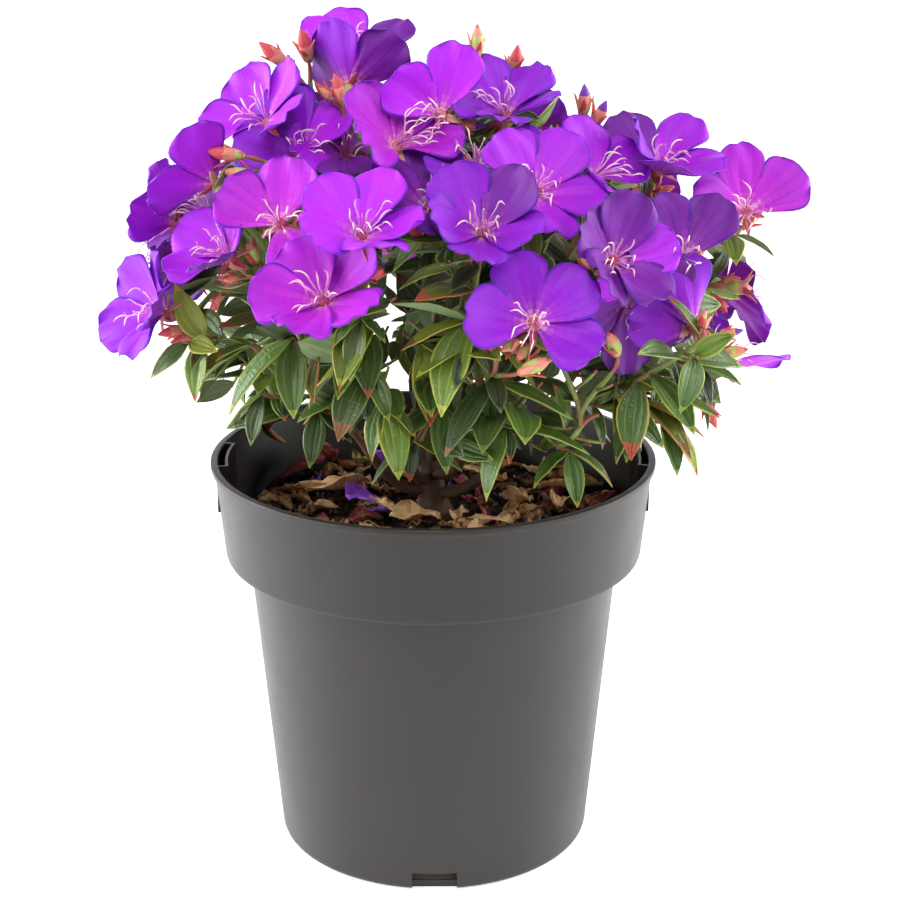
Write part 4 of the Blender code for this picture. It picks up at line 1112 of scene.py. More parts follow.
def far_from(tree, points, margin):
    """True if every point keeps the margin from everything in the tree."""
    return all(tree.find(point)[2] > margin for point in points)


def inside_box(points, margin):
    """True if the points keep inside the box of the measured solids."""
    low, high = np.array(solid_box[0]) / MM + margin, np.array(solid_box[1]) / MM - margin
    return bool((points > low).all() and (points < high).all())


petal_tree = tree_of_points(np.concatenate([sampled(shape, 3) for shape in petal_shapes]))

# %% [markdown]
# ## Stamens, cups and buds
#
# Ten long stamens stand in each bloom. A pink thread rises from the cup, bends at a
# white knee, and carries a curved, pale anther that arches down and forward. One pink
# style is longer than all of them. Behind the petals sits an urn-shaped green and red
# cup with five pointed lobes. A bud is the same cup with its petals still rolled into a
# point, red where the light reaches it and lime at the foot.

# %% Stamens and styles
stamen_family = family(
    ("filament_pink", "dc8ac8", 0.5),
    ("filament_pale", "ecc4dc", 0.5),
    ("anther_cream", "ecd2c8", 0.5),
    ("anther_rose", "dc9aac", 0.5),
    ("style_pink", "d05cb8", 0.45),
)
STAMENS = 10
ANTHER_RADII = np.array([0.36, 0.3, 0.34, 0.34, 0.32, 0.27, 0.15])


def thread(stem, steps, radii, tints):
    """A thin tube along a curve."""
    path = along(stem, np.linspace(0, 1, steps))[0]
    return tube(path, radii, 6, tints)


rng = np.random.default_rng(SEED + 2)
stamen_shapes = []
for throat, facing, kept, _ in blooms:
    if not kept:
        continue
    up, side = frame_of(facing, UP)
    lean_side = rng.uniform(-4, 4)
    for j in range(STAMENS):
        radial = spoke(up, side, 2 * math.pi * (j + rng.uniform(-0.3, 0.3)) / STAMENS)
        lean = math.radians(rng.uniform(8, 38))
        length = rng.uniform(9.5, 15.0) * (1.0 if j % 2 else 0.8)
        root = throat - facing * 2.2 + radial * 1.2
        knee = root + (facing * math.cos(lean) + radial * math.sin(lean)) * length
        knee = knee + lean_side * side - up * rng.uniform(0, 3.4)
        rising, arriving = unit(facing + 0.15 * radial), unit(facing * 0.8 + radial * 0.7 - 0.3 * up)
        stem = bend(root, rising, knee, arriving, 0.4)
        stamen_shapes.append(thread(stem, 8, np.linspace(0.27, 0.2, 8), [0, 0, 0, 0, 0, 1, 1]))
        sweep = radial * rng.uniform(0.0, 0.8) - up * rng.uniform(-0.2, 1.0) + side * lean_side * 0.2
        sweep = unit(sweep + facing * rng.uniform(0.2, 0.9))
        tip = knee + sweep * rng.uniform(4.5, 7.5)
        hook = bend(knee, unit(facing + 0.6 * radial), tip, unit(sweep - 0.6 * facing - 0.3 * up), 0.45)
        stamen_shapes.append(thread(hook, 7, ANTHER_RADII, [1, 2, 2, 2, 2, 3]))
    end = throat + facing * rng.uniform(13, 16) - up * rng.uniform(3, 6) + side * rng.uniform(-3, 3)
    style = bend(throat - facing * 2, facing, end, unit(facing + 0.6 * up), 0.5)
    stamen_shapes.append(thread(style, 9, np.linspace(0.3, 0.22, 9), 4))
joined("stamens", stamen_shapes, stamen_family, NAMES)

# %% Cups, sepals and buds
cup_family = family(
    ("cup_green", "9da25a", 0.55),
    ("cup_pink", "b9686a", 0.58),
    ("sepal_red", "a63c50", 0.55),
    ("sepal_pale", "cf9384", 0.6),
    ("bud_violet", "6d2a9a", 0.5),
    ("bud_lime", "b6bd6c", 0.55),
    ("bud_salmon", "d98b74", 0.55),
    ("bud_red", "c4484f", 0.5),
)
for made in cup_family:
    emboss(made, grain(made, 0.45, 3.0), 0.10)


def urn(foot, facing, tints, scale=1.0):
    """The cup of a bloom, from the twig's end up to the throat."""
    far = np.array([-0.8, 0.4, 1.6, 3.2, 5.0, 6.8, 8.0, 8.9]) * scale
    radii = np.array([0.95, 1.3, 2.3, 3.0, 3.25, 3.0, 2.6, 2.3]) * scale
    return tube(foot + far[:, None] * facing, radii, 10, tints)


def sepal(root, way, normal, length, width, tints, rng):
    """A pointed lobe of the cup, as a small curved sheet."""
    t = np.array([0, 0.2, 0.45, 0.7, 0.88, 1.0])
    half = np.array([0.75, 1.0, 0.9, 0.6, 0.3, 0.03]) * width / 2
    x, tt = np.meshgrid(np.array([-1, -0.4, 0.4, 1]), t)
    lift = 0.5 * x**2 - length * rng.uniform(0.05, 0.3) * tt**2
    grid = placed(x * half[:, None], tt * length, lift, root, np.cross(way, normal), way, normal)
    return sheet(grid, 0.4, tints, tints, tints)


BUD_TINTS = (
    (5, 5, 5, 6, 6, 7, 7, 7, 7, 2),  # red, the most usual
    (5, 5, 5, 5, 6, 6, 4, 4, 4, 4),  # about to open, with a violet tip
    (5, 5, 5, 5, 5, 5, 6, 6, 7, 7),  # young, mostly lime
)


def bud(foot, facing, length, tone, rng):
    """A pointed bud: a round foot, two scales, and the rolled petals."""
    t = np.array([0, 0.05, 0.14, 0.28, 0.42, 0.56, 0.70, 0.82, 0.92, 0.98, 1.0])
    radii = np.array([0.9, 1.3, 1.9, 2.5, 2.8, 2.7, 2.3, 1.6, 0.9, 0.4, 0.1]) * length / 15.5
    up, side = frame_of(facing, UP)
    path = foot + facing * (t * length)[:, None] + side * (0.5 * np.sin(3 * t))[:, None]
    made = [tube(path, radii, 10, BUD_TINTS[tone])]
    for j in range(4):
        radial = spoke(up, side, math.radians(90 * j + rng.uniform(-15, 15)))
        root = foot + facing * 1.0 + radial * 1.5
        way, normal = unit(facing + 0.16 * radial), -unit(radial - facing * 0.16)
        scale_length = length * rng.uniform(0.5, 0.75)
        made.append(sepal(root, way, normal, scale_length, 3.6, 6 if j % 2 else 7, rng))
    return made


GREEN_CUP, RED_CUP = [0, 0, 0, 0, 1, 1, 1], [0, 1, 1, 1, 1, 2, 2]
BUD_SHARES, SIDE_BUD_SHARES = (0.45, 0.15, 0.4), (0.5, 0.12, 0.38)
rng = np.random.default_rng(SEED + 3)
cup_shapes = []
for throat, facing, kept, _ in blooms:
    foot = throat - facing * CALYX_LENGTH
    cup_shapes.append(urn(foot, facing, GREEN_CUP if rng.random() < 0.6 else RED_CUP))
    up, side = frame_of(facing, UP)
    for j in range(5):
        radial = spoke(up, side, 2 * math.pi * (j + 0.5) / 5 + rng.uniform(-0.2, 0.2))
        lean = math.radians(rng.uniform(78, 112) if kept else rng.uniform(5, 45))
        way = facing * math.cos(lean) + radial * math.sin(lean)
        normal = unit(facing * math.sin(lean) - radial * math.cos(lean))
        root = throat - facing * 2.6 + radial * 2.2
        length = rng.uniform(6, 8.5)
        cup_shapes.append(sepal(root, way, normal, length, 3.2, int(rng.choice([1, 2, 2, 3])), rng))
for name in NAMES:
    for curve, k, _ in grown[name][1]:
        kind, place, facing, _ = targets[name][k]
        if kind == "bud":
            length = rng.uniform(14, 18)
            cup_shapes += bud(place - facing, facing, length, int(rng.choice(3, p=BUD_SHARES)), rng)

# Below most blooms the same twig carries one or two younger buds on short stalks.
SIDE_BUDS = 2
side_stalks = []
for name in NAMES:
    for curve, k, _ in grown[name][1]:
        if targets[name][k][0] != "bloom" or length_of(curve) < 22:
            continue
        for number in range(SIDE_BUDS):
            back = 7.0 + 5.0 * number + rng.uniform(0, 3)
            place, way = along(curve, [1 - back / length_of(curve)])
            first, other = frame_of(way[0], UP)
            length = rng.uniform(9, 15)
            for _ in range(7):
                out = spoke(first, other, rng.uniform(0, 2 * math.pi))
                ahead = unit(way[0] + out * rng.uniform(0.6, 1.1))
                foot = place[0] + ahead * rng.uniform(5, 9)
                points = np.array([foot + ahead * t for t in np.linspace(0, length + 1, 5)])
                if far_from(petal_tree, points, 3.2) and inside_box(points, 2.0):
                    stalk = bend(place[0], unit(way[0] + ahead), foot, ahead)
                    path = along(stalk, np.linspace(0, 1, 6))[0]
                    side_stalks.append(tube(path, np.linspace(0.8, 0.75, 6), 8, 4))
                    tone = int(rng.choice(3, p=SIDE_BUD_SHARES))
                    cup_shapes += bud(foot - ahead * 0.4, ahead, length, tone, rng)
                    break
print("side buds:", len(side_stalks))
joined("bud_stalks", side_stalks, wood_family, NAMES)
joined("cups_and_buds", cup_shapes, cup_family, NAMES)

# %% [markdown]
# ## Leaves
#
# The leaves stand in opposite pairs, each pair square to the one before. A leaf is a
# slender ellipse with a long point, and three to five veins run from foot to tip in
# grooves, so the blade is quilted between them. Old leaves are dark and a little
# glossy, young ones are yellow green, and a few turn orange along the edge before they
# fall. A leaf that would run into a petal, a limb or another leaf is turned a
# little, and left out if there is no room for it.

# %% The plan of the leaves
LEAF_LENGTHS = (22.0, 30.0, 36.0, 36.0, 34.0, 30.0)
LEAF_SPACING = 11.5
FIRST_PAIR = {"bloom": 10.0, "spray": 3.5, "bud": 13.0}
BARE_FOOT = 7.0
LEAF_WIDTH_SHARE = 0.42
# Turns and dips in degrees, tried in this order. A named leaf has the first eight.
LEAF_TRIES = (
    (0, 0), (16, 0), (-16, 0), (0, 14), (0, -14), (30, 8), (-30, 8), (0, 30), (45, 20), (-45, 20),
)
NAMED_TRIES = 8
LEAF_MARGIN = 1.5


def leaf_pairs(curve, end_kind, rng):
    """Opposite pairs down a twig from its tip, each pair square to the last."""
    total = length_of(curve)
    found = []
    turn = float(rng.uniform(0, 90))
    back = FIRST_PAIR[end_kind]
    for size in LEAF_LENGTHS:
        if back > total - BARE_FOOT:
            break
        place, way = along(curve, [1 - back / total])
        first, other = frame_of(way[0], UP)
        for half in (0, 180):
            out = spoke(first, other, math.radians(turn + half + float(rng.uniform(-14, 14))))
            ahead = unit(out * 0.86 + way[0] * 0.5 - 0.22 * UP)
            length = size * float(rng.uniform(0.8, 1.15))
            found.append((place[0], ahead, unit(way[0] + 0.6 * UP), length, back))
        turn += 90
        back += LEAF_SPACING * float(rng.uniform(0.9, 1.2))
    return found


def leaf_points(root, way, up, length):
    """Points that stand for a leaf when room is looked for."""
    normal = frame_of(way, up)[0]
    side = np.cross(way, normal)
    t = np.array([0.24, 0.35, 0.46, 0.57, 0.68, 0.79, 0.90, 1.0])
    half = length * LEAF_WIDTH_SHARE / 2 * np.array([0.8, 0.98, 1.0, 0.95, 0.83, 0.6, 0.32, 0.0])
    mid = root + way * (t * length)[:, None] - normal * (0.14 * length * t**2)[:, None]
    return np.concatenate([mid, mid + side * half[:, None], mid - side * half[:, None]])


def clear_of_leaves(points, cloud):
    return not len(cloud) or ((points[:, None] - cloud[None]) ** 2).sum(2).min() > LEAF_MARGIN**2


# Low in front the plant is bare, and the mix shows. There the rule sets out no leaf that
# would reach below this height over the pot's middle, which falls off towards the front.
SKIRT_X = (-110, -40, -12, 30, 70, 110)
SKIRT_HEIGHT = (192, 189, 180, 176, 180, 186)
SKIRT_SLOPE, SKIRT_BACK = 0.33, 55


def above_skirt(points):
    """True if a leaf keeps to the leafy part of the plant."""
    x, y, z = points[points[:, 1] < SKIRT_BACK].T
    return bool((z + SKIRT_SLOPE * y > np.interp(x, SKIRT_X, SKIRT_HEIGHT)).all())


def stem_points(curve):
    return along(curve, np.linspace(0, 1, max(3, int(length_of(curve) / 2.5))))[0]


def named_leaves(name):
    """The leaves that are named one by one, at the tips that the front shows."""
    for _, k, _ in grown[name][1]:
        kind, place, _, data = targets[name][k]
        for heading, rise, length in data if kind == "spray" else ():
            yield place, towards(heading, rise), UP, float(length), 0.0


def limbs_of(name):
    """The curves of a mass: its bough, then its twigs."""
    bough, twigs = grown[name]
    return [bough] + [curve for curve, _, _ in twigs]


def claim(name):
    """Points that say which space belongs to a mass: its limbs, petals and named leaves."""
    points = [stem_points(curve) for curve in limbs_of(name)]
    points += [shape[0] for shape in petal_blades[name]]
    for root, way, _, length, _ in named_leaves(name):
        points += [root + way * length * share for share in (0.3, 0.6, 0.9)]
    return np.concatenate([np.atleast_2d(p) for p in points])


claims = {name: claim(name) for name in NAMES}
own_tree = {name: tree_of_points(claims[name]) for name in NAMES}
other_tree = {}
for name in NAMES:
    others = [claims[other] for other in NAMES if other != name]
    other_tree[name] = tree_of_points(np.concatenate(others))


def in_own_space(name, points, slack=0.6):
    """True if every point lies nearer to its own mass than to any other."""
    return all(own_tree[name].find(p)[2] + slack < other_tree[name].find(p)[2] for p in points)


wood_list = [stem_points(curve) for name in NAMES for curve in limbs_of(name)]
wood_tree = tree_of_points(np.concatenate(wood_list))
print("points that claim space:", sum(len(points) for points in claims.values()))

# %% Short leafy shoots on the boughs and the older twigs
SHOOT_STEP, SHOOT_SHARE = 12.0, 0.8
BARE_BOUGH, BARE_TWIG = 4.0, 20.0
rng = np.random.default_rng(SEED + 6)
shoots = []
for name in NAMES:
    for number, curve in enumerate(limbs_of(name)):
        total = length_of(curve)
        for back in np.arange(BARE_TWIG if number else BARE_BOUGH, total - 5, SHOOT_STEP):
            if rng.random() > SHOOT_SHARE:
                continue
            place, way = along(curve, [1 - back / total])
            first, other = frame_of(way[0], UP)
            for _ in range(5):
                out = spoke(first, other, rng.uniform(0, 2 * math.pi))
                out = unit(out + 0.5 * unit(place[0] - CROWN_MIDDLE))
                tip = place[0] + unit(out + way[0] * 0.5) * rng.uniform(12, 24)
                arriving = unit(out + way[0] * 0.5 + 0.2 * UP)
                shoot = bend(place[0], unit(out + way[0] * 0.4), tip, arriving)
                points = stem_points(shoot)[2:]
                room = far_from(petal_tree, points, 2.5) and far_from(wood_tree, points, 2.2)
                if room and out_of_pot(points) and above_skirt(points):
                    shoots.append((name, shoot))
                    break

# Leafy tips inside the crown, which close it where a look between the boughs would
# else go right through. Each grows from the nearest limb of the mass whose space it is,
# and the first few carry one more leaf that hangs down.
INNER_TIPS = (
    (-13, 35, 240), (-14, 22, 222), (-11, -30, 252), (-13, -8, 240), (-16, 4, 226),
    (-12, 50, 232), (-16, 40, 222), (-20, 12, 238), (-22, -22, 230), (-14, 34, 244),
    (-26, 20, 216), (-12, -30, 214), (-32, -8, 224), (-18, 48, 226), (-8, 8, 226),
    (46, 12, 220), (50, -22, 216), (40, 34, 224), (56, 40, 212), (38, -6, 212),
    (-30, 44, 204), (-44, 10, 206), (-38, 34, 236), (20, 30, 216), (14, 44, 232),
)
HUNG_LEAVES, HUNG_LENGTH = 8, 31.0
hung = []
for tip in np.array(INNER_TIPS, float):
    name = min(NAMES, key=lambda n: own_tree[n].find(tip)[2])
    hung.append((name, tip))
    limbs = np.concatenate([stem_points(curve) for curve in limbs_of(name)])
    cost = np.linalg.norm(limbs - tip, axis=1) + 0.5 * np.abs(limbs[:, 2] - tip[2] + 12)
    foot = limbs[np.argmin(cost)]
    if np.linalg.norm(tip - foot) > 5:
        leaving, arriving = unit(tip - foot + 4 * UP), unit(tip - foot + 8 * UP)
        shoots.append((name, bend(foot, leaving, tip, arriving)))

shoot_shapes = []
t = np.linspace(0, 1, 9)
for _, shoot in shoots:
    shoot_shapes.append(tube(along(shoot, t)[0], 0.85 - 0.25 * t, 8, [2, 2, 2, 2, 3, 3, 3, 4]))
print("shoots:", len(shoots))
joined("shoots", shoot_shapes, wood_family, NAMES)

# %% Room for each leaf
PETAL_MARGIN, NAMED_PETAL_MARGIN, WOOD_MARGIN = 1.7, 0.9, 1.5
leaf_list = []
leaf_cloud = np.zeros((0, 3), np.float32)


def place_leaf(name, root, way, up, length, back, named=False):
    """Adds the first variant of a leaf for which there is room. Named ones may hang low."""
    global leaf_cloud
    for turn, dip in LEAF_TRIES[:NAMED_TRIES] if named else LEAF_TRIES:
        c, s = math.cos(math.radians(turn)), math.sin(math.radians(turn))
        new = np.array([way[0] * c - way[1] * s, way[0] * s + way[1] * c, way[2]])
        new = unit(new - math.sin(math.radians(dip)) * UP)
        points = leaf_points(root, new, up, length).astype(np.float32)
        if not (out_of_pot(points) and (named or above_skirt(points))):
            continue
        if clear_of_leaves(points, leaf_cloud) and in_own_space(name, points):
            margin = NAMED_PETAL_MARGIN if named else PETAL_MARGIN
            if far_from(petal_tree, points, margin) and far_from(wood_tree, points, WOOD_MARGIN):
                leaf_list.append((root, new, up, length, back))
                leaf_cloud = np.concatenate([leaf_cloud, points])
                return True
    return False


asked = [(name, plan) for name in NAMES for plan in named_leaves(name)]
missed = [plan for name, plan in asked if not place_leaf(name, *plan, named=True)]
print("named leaves without room:", len(missed))
down, facing_front = unit(np.array([0.1, -0.2, -1.0])), np.array([0, -1, 0.3])
for name, tip in hung[:HUNG_LEAVES]:
    place_leaf(name, tip, down, facing_front, HUNG_LENGTH, 6.0, named=True)
for number, name in enumerate(NAMES):
    rng = np.random.default_rng(SEED + 100 * number)
    for curve, k, _ in grown[name][1]:
        kind, _, _, data = targets[name][k]
        pairs = leaf_pairs(curve, kind, rng)
        for plan in pairs[2:] if kind == "spray" and data else pairs:
            place_leaf(name, *plan)
print("leaves on twigs:", len(leaf_list))
rng = np.random.default_rng(SEED + 7)
for name, shoot in shoots:
    for plan in leaf_pairs(shoot, "spray", rng):
        place_leaf(name, *plan)
print("leaves in all:", len(leaf_list))

# %% The fine leaves
LEAF_T = np.array([0, 0.05, 0.14, 0.26, 0.39, 0.52, 0.65, 0.78, 0.89, 0.96, 1.0])
LEAF_HALF = np.array([0.07, 0.22, 0.57, 0.87, 1.0, 0.98, 0.85, 0.60, 0.32, 0.12, 0.015])
LEAF_X = np.array([-1, -0.9, -0.72, -0.54, -0.46, -0.26, -0.055, 0.055, 0.26, 0.46, 0.54, 0.72, 0.9, 1])
QUILT = np.array([0, 0.1, 0.3, -0.12, -0.12, 0.28, -0.42, -0.42, 0.28, -0.12, -0.12, 0.3, 0.1, 0])
VEIN_COLUMNS, MARGIN_COLUMNS = [3, 6, 9], [0, 12]
LEAF_SKIN = 0.35
QUILT_MM = 1.45


def leaf_grid(root, way, up, length, rng):
    """One leaf as a curved grid: folded, arched, twisted, quilted and waved."""
    normal = frame_of(way, up)[0]
    side = np.cross(way, normal)
    x, t = np.meshgrid(LEAF_X, LEAF_T)
    width = LEAF_HALF[:, None] * length * LEAF_WIDTH_SHARE / 2 * rng.uniform(0.88, 1.1)
    arch = rng.uniform(0.10, 0.34)
    fold = rng.uniform(0.1, 0.4)
    twist = rng.uniform(-0.35, 0.35) * t
    sway = rng.uniform(-0.06, 0.06) * length * t**2
    across = x * width
    lift = fold * np.abs(across) + QUILT * np.sqrt(LEAF_HALF)[:, None] * QUILT_MM
    ruffle = np.sin(rng.uniform(9, 15) * t + 2 * x + rng.uniform(0, 6.3))
    lift = lift + 0.35 * np.abs(x) ** 2 * ruffle * LEAF_HALF[:, None]
    turned_x = across * np.cos(twist) - lift * np.sin(twist)
    turned_z = across * np.sin(twist) + lift * np.cos(twist)
    forth = length * t * (1 - 0.6 * arch**2 * t**2)
    return placed(turned_x + sway, forth, turned_z - arch * length * t**2, root, side, way, normal)


LEAF_TONES = (
    ("dark", "293816", "43552c", "465824"),
    ("deep", "34471a", "51662f", "627429"),
    ("green", "446020", "657e36", "859333"),
    ("fresh", "607a26", "849a44", "9ba236"),
    ("lime", "84942f", "a0aa50", "b9a83e"),
    ("autumn", "5f6524", "807f3e", "b5642a"),
    ("edged", "435d25", "697f3f", "ad9536"),
)
leaf_family = []
for tone, *colours in LEAF_TONES:
    for part, colour in zip(("blade", "vein", "margin"), colours):
        leaf_family.append(surface(f"leaf_{tone}_{part}", colour, 0.31))
UNDER, RUST, BROWN = len(leaf_family), len(leaf_family) + 1, len(leaf_family) + 2
leaf_family += family(
    ("leaf_underside", "7d9063", 0.62),
    ("leaf_tip_rust", "9a4826", 0.5),
    ("leaf_tip_brown", "7b5330", 0.7),
)
for made in leaf_family:
    emboss(made, streaks(made, 9.0, 40.0, 2.0), 0.3)

# How often a leaf takes each tone: out in the light, young at a tip, or old inside.
OUTER_SHARES = (0.08, 0.20, 0.30, 0.17, 0.06, 0.06, 0.13)
YOUNG_SHARES = (0.20, 0.30, 0.26, 0.12, 0.03, 0.04, 0.05)
INNER_SHARES = (0.45, 0.32, 0.14, 0.03, 0.0, 0.02, 0.04)
rng = np.random.default_rng(SEED + 4)
leaf_shapes = {name: [] for name in ("leaves_front", "leaves_middle", "leaves_back")}
for root, way, up, length, back in leaf_list:
    outer = np.linalg.norm((root - CROWN_MIDDLE) / CROWN_RADII) > 0.62
    shares = OUTER_SHARES if outer else YOUNG_SHARES if back < 8 else INNER_SHARES
    tone = int(rng.choice(7, p=shares))
    zone = np.full((len(LEAF_T) - 1, len(LEAF_X) - 1), 3 * tone)
    zone[:, VEIN_COLUMNS] = 3 * tone + 1
    zone[:, MARGIN_COLUMNS] = 3 * tone + 2
    zone[-2:] = 3 * tone + 2
    if tone >= 5 or rng.random() < 0.12:
        zone[-int(rng.integers(1, 4)) :] = RUST if rng.random() < 0.5 else BROWN
    depth = (root + way * length * 0.5)[1]
    half = "leaves_front" if depth < -50 else "leaves_middle" if depth < 20 else "leaves_back"
    grid = leaf_grid(root, way, up, length, rng)
    leaf_shapes[half].append(sheet(grid, LEAF_SKIN, zone, UNDER, 3 * tone + 2))
for half, shapes in leaf_shapes.items():
    joined(half, shapes, leaf_family, NAMES)

# %% [markdown]
# ## Fallen petals and leaves
#
# A shrub in blossom drops something every day. Fresh petals lie violet on the mix for a
# day or two, then curl and turn maroon, tan and brown. Dry leaves roll up along their
# length. They are the same thin sheets as on the plant, rolled tighter.

# %% Litter on the mix
# The litter tints are painted lighter than such scraps are, the dry tan, ochre and brown most. This is
# painted light for the mix, which the lamps barely reach.
litter_family = [
    surface("fallen_petal_violet", "9a3ae0", 0.5, Sheen_Weight=0.3),
    surface("fallen_petal_purple", "6a24a8", 0.55, Sheen_Weight=0.3),
]
litter_family += family(
    ("withered_maroon", "9c404e", 0.62),
    ("dry_tan_painted_lighter", "ecc592", 0.6),
    ("dry_ochre_painted_lighter", "d6a96c", 0.62),
    ("dry_brown_painted_lighter", "ac7c4c", 0.66),
    ("dry_dark", "4a3324", 0.8),
    ("sepal_fresh_red", "b5405a", 0.55),
    ("scrap_lime", "9aa850", 0.55),
    ("scrap_grey", "8a8274", 0.85),
)
PURPLE, MAROON, TAN, BROWN_SCRAP, DARK = 1, 2, 3, 5, 6
for made in litter_family:
    emboss(made, streaks(made, 16.0, 3.0, 4.0), 0.4)

LITTER_REACH = 86.0  # from the pot's axis, which keeps every scrap inside the wall
SCRAP_T = (0, 0.1, 0.35, 0.6, 0.85, 1)
SCRAP_HALF = (0.12, 0.45, 0.9, 1, 0.72)


def scrap_tints(tint, u, v, x, y):
    """The tint of each face: dry scraps are mottled and darker along one edge."""
    mottle = ripple(3.0 * u + x, 7.0 * v + y, 2.0, 12)
    if TAN <= tint <= DARK:
        shift = np.where(mottle > 0.35, 1, np.where(mottle < -0.45, -1, 0))
        return np.clip(tint + shift + (np.abs(u - 0.1) > 0.75), TAN, DARK)
    return np.where(mottle > 0.6, BROWN_SCRAP, tint) if tint == MAROON else tint


def scrap(x, y, length, width, curl, heading, tilt, tint, rng, lift=0.8, pointed=True):
    """A fallen petal or leaf, rolled by curl radians from edge to edge."""
    t = np.linspace(0, 1, 12)
    half = np.interp(t, SCRAP_T, (*SCRAP_HALF, 0.1 if pointed else 0.6)) * width / 2
    u, v = np.meshgrid(np.linspace(-1, 1, 11), t)
    turn = u * curl / 2 + 0.6 * v
    radius = half[:, None] * 2 / max(curl, 0.2)
    across = radius * np.sin(turn) + 0.6 * np.sin(7 * v + 3 * u)
    height = radius * (1 - np.cos(turn)) + rng.uniform(0.5, 1.6) * np.sin(rng.uniform(4, 9) * v + 2 * u)
    height = height + 0.7 * ripple(4 * u + x, 9 * v + y, 2.0, 11)
    tints = scrap_tints(tint, u[1:, 1:], v[1:, 1:], x, y)
    way = towards(heading, tilt)
    normal = frame_of(way, UP)[0]
    side = np.cross(way, normal)
    grid = placed(across, v * length - length / 2, height, np.zeros(3), side, way, normal)
    grid = grid - np.array([0, 0, grid[..., 2].min()])
    grid = grid + np.array([x, y, ground(x, y) + lift])
    over = np.hypot(grid[..., 0], grid[..., 1]).max() - LITTER_REACH
    if over > 0:
        grid[..., :2] -= over * np.array([x, y]) / math.hypot(x, y)
    return sheet(grid, 0.35, tints, tints, tint)


# Pieces that the front shows: x, y, length, width, curl, heading, tilt, tint, lift.
SHOWN = (
    (-14, 33, 24, 21, 0.9, 40, 34, 0, 6),
    (-31, 2, 17, 15, 1.3, -70, 14, 0, 4),
    (-22, -4, 16, 12, 2.0, 80, 8, 1, 3),
    (-62, 24, 31, 15, 2.2, 70, 14, 3, 3),
    (-44, 17, 31, 16, 1.9, 95, 10, 3, 5),
    (-68, 4, 17, 10, 3.4, 20, 10, 4, 3),
    (-52, 0, 19, 11, 2.8, 60, 12, 3, 3),
    (-17, -6, 20, 15, 2.6, 10, 16, 4, 3),
    (-8, -16, 24, 13, 2.6, -70, 8, 3, 3),
    (-36, 30, 22, 12, 2.6, -40, 18, 5, 3),
    (38, 4, 26, 14, 3.0, 30, 14, 3, 4),
    (61, 51, 22, 13, 3.0, -30, 12, 3, 3),
    (31, 27, 22, 12, 3.2, 10, 18, 4, 3),
    (70, 30, 24, 14, 2.8, 50, 10, 3, 3),
    (54, 20, 22, 12, 2.8, 80, 14, 4, 4),
    (-53, 61, 24, 14, 1.8, 10, 34, 2, 5),
    (-68, 52, 26, 13, 2.0, 120, 20, 2, 4),
    (-38, 61, 16, 6, 4.2, 70, 20, 8, 3),
    (17, 12, 11, 5, 1.5, 40, 10, 7, 3),
    (25, -13, 11, 5, 1.5, 80, 6, 7, 2),
    (-4, 4, 10, 5, 1.5, -20, 12, 7, 2),
    (-61, 87, 22, 13, 2.6, 60, 12, 5, 2),
    (43, 82, 22, 13, 2.6, -60, 12, 4, 2),
    (58, -4, 22, 12, 3.0, -20, 14, 3, 3),
    (53, 8, 12, 9, 3.0, 0, 10, 9, 3),
    (10, -26, 18, 11, 3.0, 60, 10, 5, 2),
    (22, -38, 20, 12, 2.8, -50, 12, 3, 2),
    (-30, -30, 20, 12, 2.8, 40, 12, 4, 2),
    (0, -48, 20, 12, 3.0, 80, 10, 3, 2),
)
LITTER, LITTER_SPREAD, TRUNK_CLEAR = 115, 80, 14
LITTER_SHARES = (0.02, 0.10, 0.20, 0.24, 0.26, 0.18)
rng = np.random.default_rng(SEED + 5)
litter = []
for x, y, length, width, curl, heading, tilt, tint, lift in SHOWN:
    litter.append(scrap(x, y, length, width, curl, heading, tilt, tint, rng, lift, tint > PURPLE))
for _ in range(LITTER):
    r, a = LITTER_SPREAD * math.sqrt(rng.random()), rng.uniform(0, 2 * math.pi)
    if r < TRUNK_CLEAR:
        continue
    tint = int(rng.choice([1, 2, 3, 4, 5, 6], p=LITTER_SHARES))
    length, width, curl = rng.uniform(9, 24), rng.uniform(6, 14), rng.uniform(1.6, 5.0)
    heading, tilt = rng.uniform(0, 360), rng.uniform(-12, 16)
    litter.append(scrap(r * math.cos(a), r * math.sin(a), length, width, curl, heading, tilt, tint, rng))

# One whole bloom has withered on a fallen stalk and leans on the wall at the left.
STALK_X, STALK_Y = -66, 75
bloom_foot = np.array([-79, 53, 177.0])
stalk_foot = np.array([STALK_X, STALK_Y, ground(STALK_X, STALK_Y) + 1])
stalk = bend(stalk_foot, UP, bloom_foot, unit(np.array([-0.3, -0.5, 0.8])))
litter.append(tube(along(stalk, np.linspace(0, 1, 12))[0], np.linspace(1.6, 1.3, 12), 8, BROWN_SCRAP))
for k in range(6):
    way = towards(60 * k + 10, 38)
    normal = frame_of(way, UP)[0]
    u, v = np.meshgrid(np.linspace(-1, 1, 9), np.linspace(0, 1, 9))
    half = 1.5 + 4.5 * v**0.7
    wrinkle = 0.8 * np.sin(6 * v + 4 * u + k) + 2.6 * u**2 + 2.0 * np.sin(5 * v) * v
    grid = placed(u * half, v * 15, wrinkle, bloom_foot, np.cross(way, normal), way, normal)
    litter.append(sheet(grid, 0.4, MAROON, MAROON, MAROON))
joined("litter", litter, litter_family, ["soil"])

# %% [markdown]
# ## Studio
#
# The pot stands on a pale seamless sweep, as in a catalogue picture: the floor bends up
# into the backdrop so that no edge shows. The sweep glows with painted light under and
# behind the plant. Large soft lamps on both sides and above wrap the plant in light and
# leave only a faint shadow. The camera looks slightly down from the height of the blossom,
# with a long lens, so that the rim reads as a flat ellipse.

# %% Floor, lamps and camera
paper = surface("sweep_with_painted_glow", "f4f4f4", 0.6, Emission_Color=(1, 1, 1, 1), Emission_Strength=0.45)
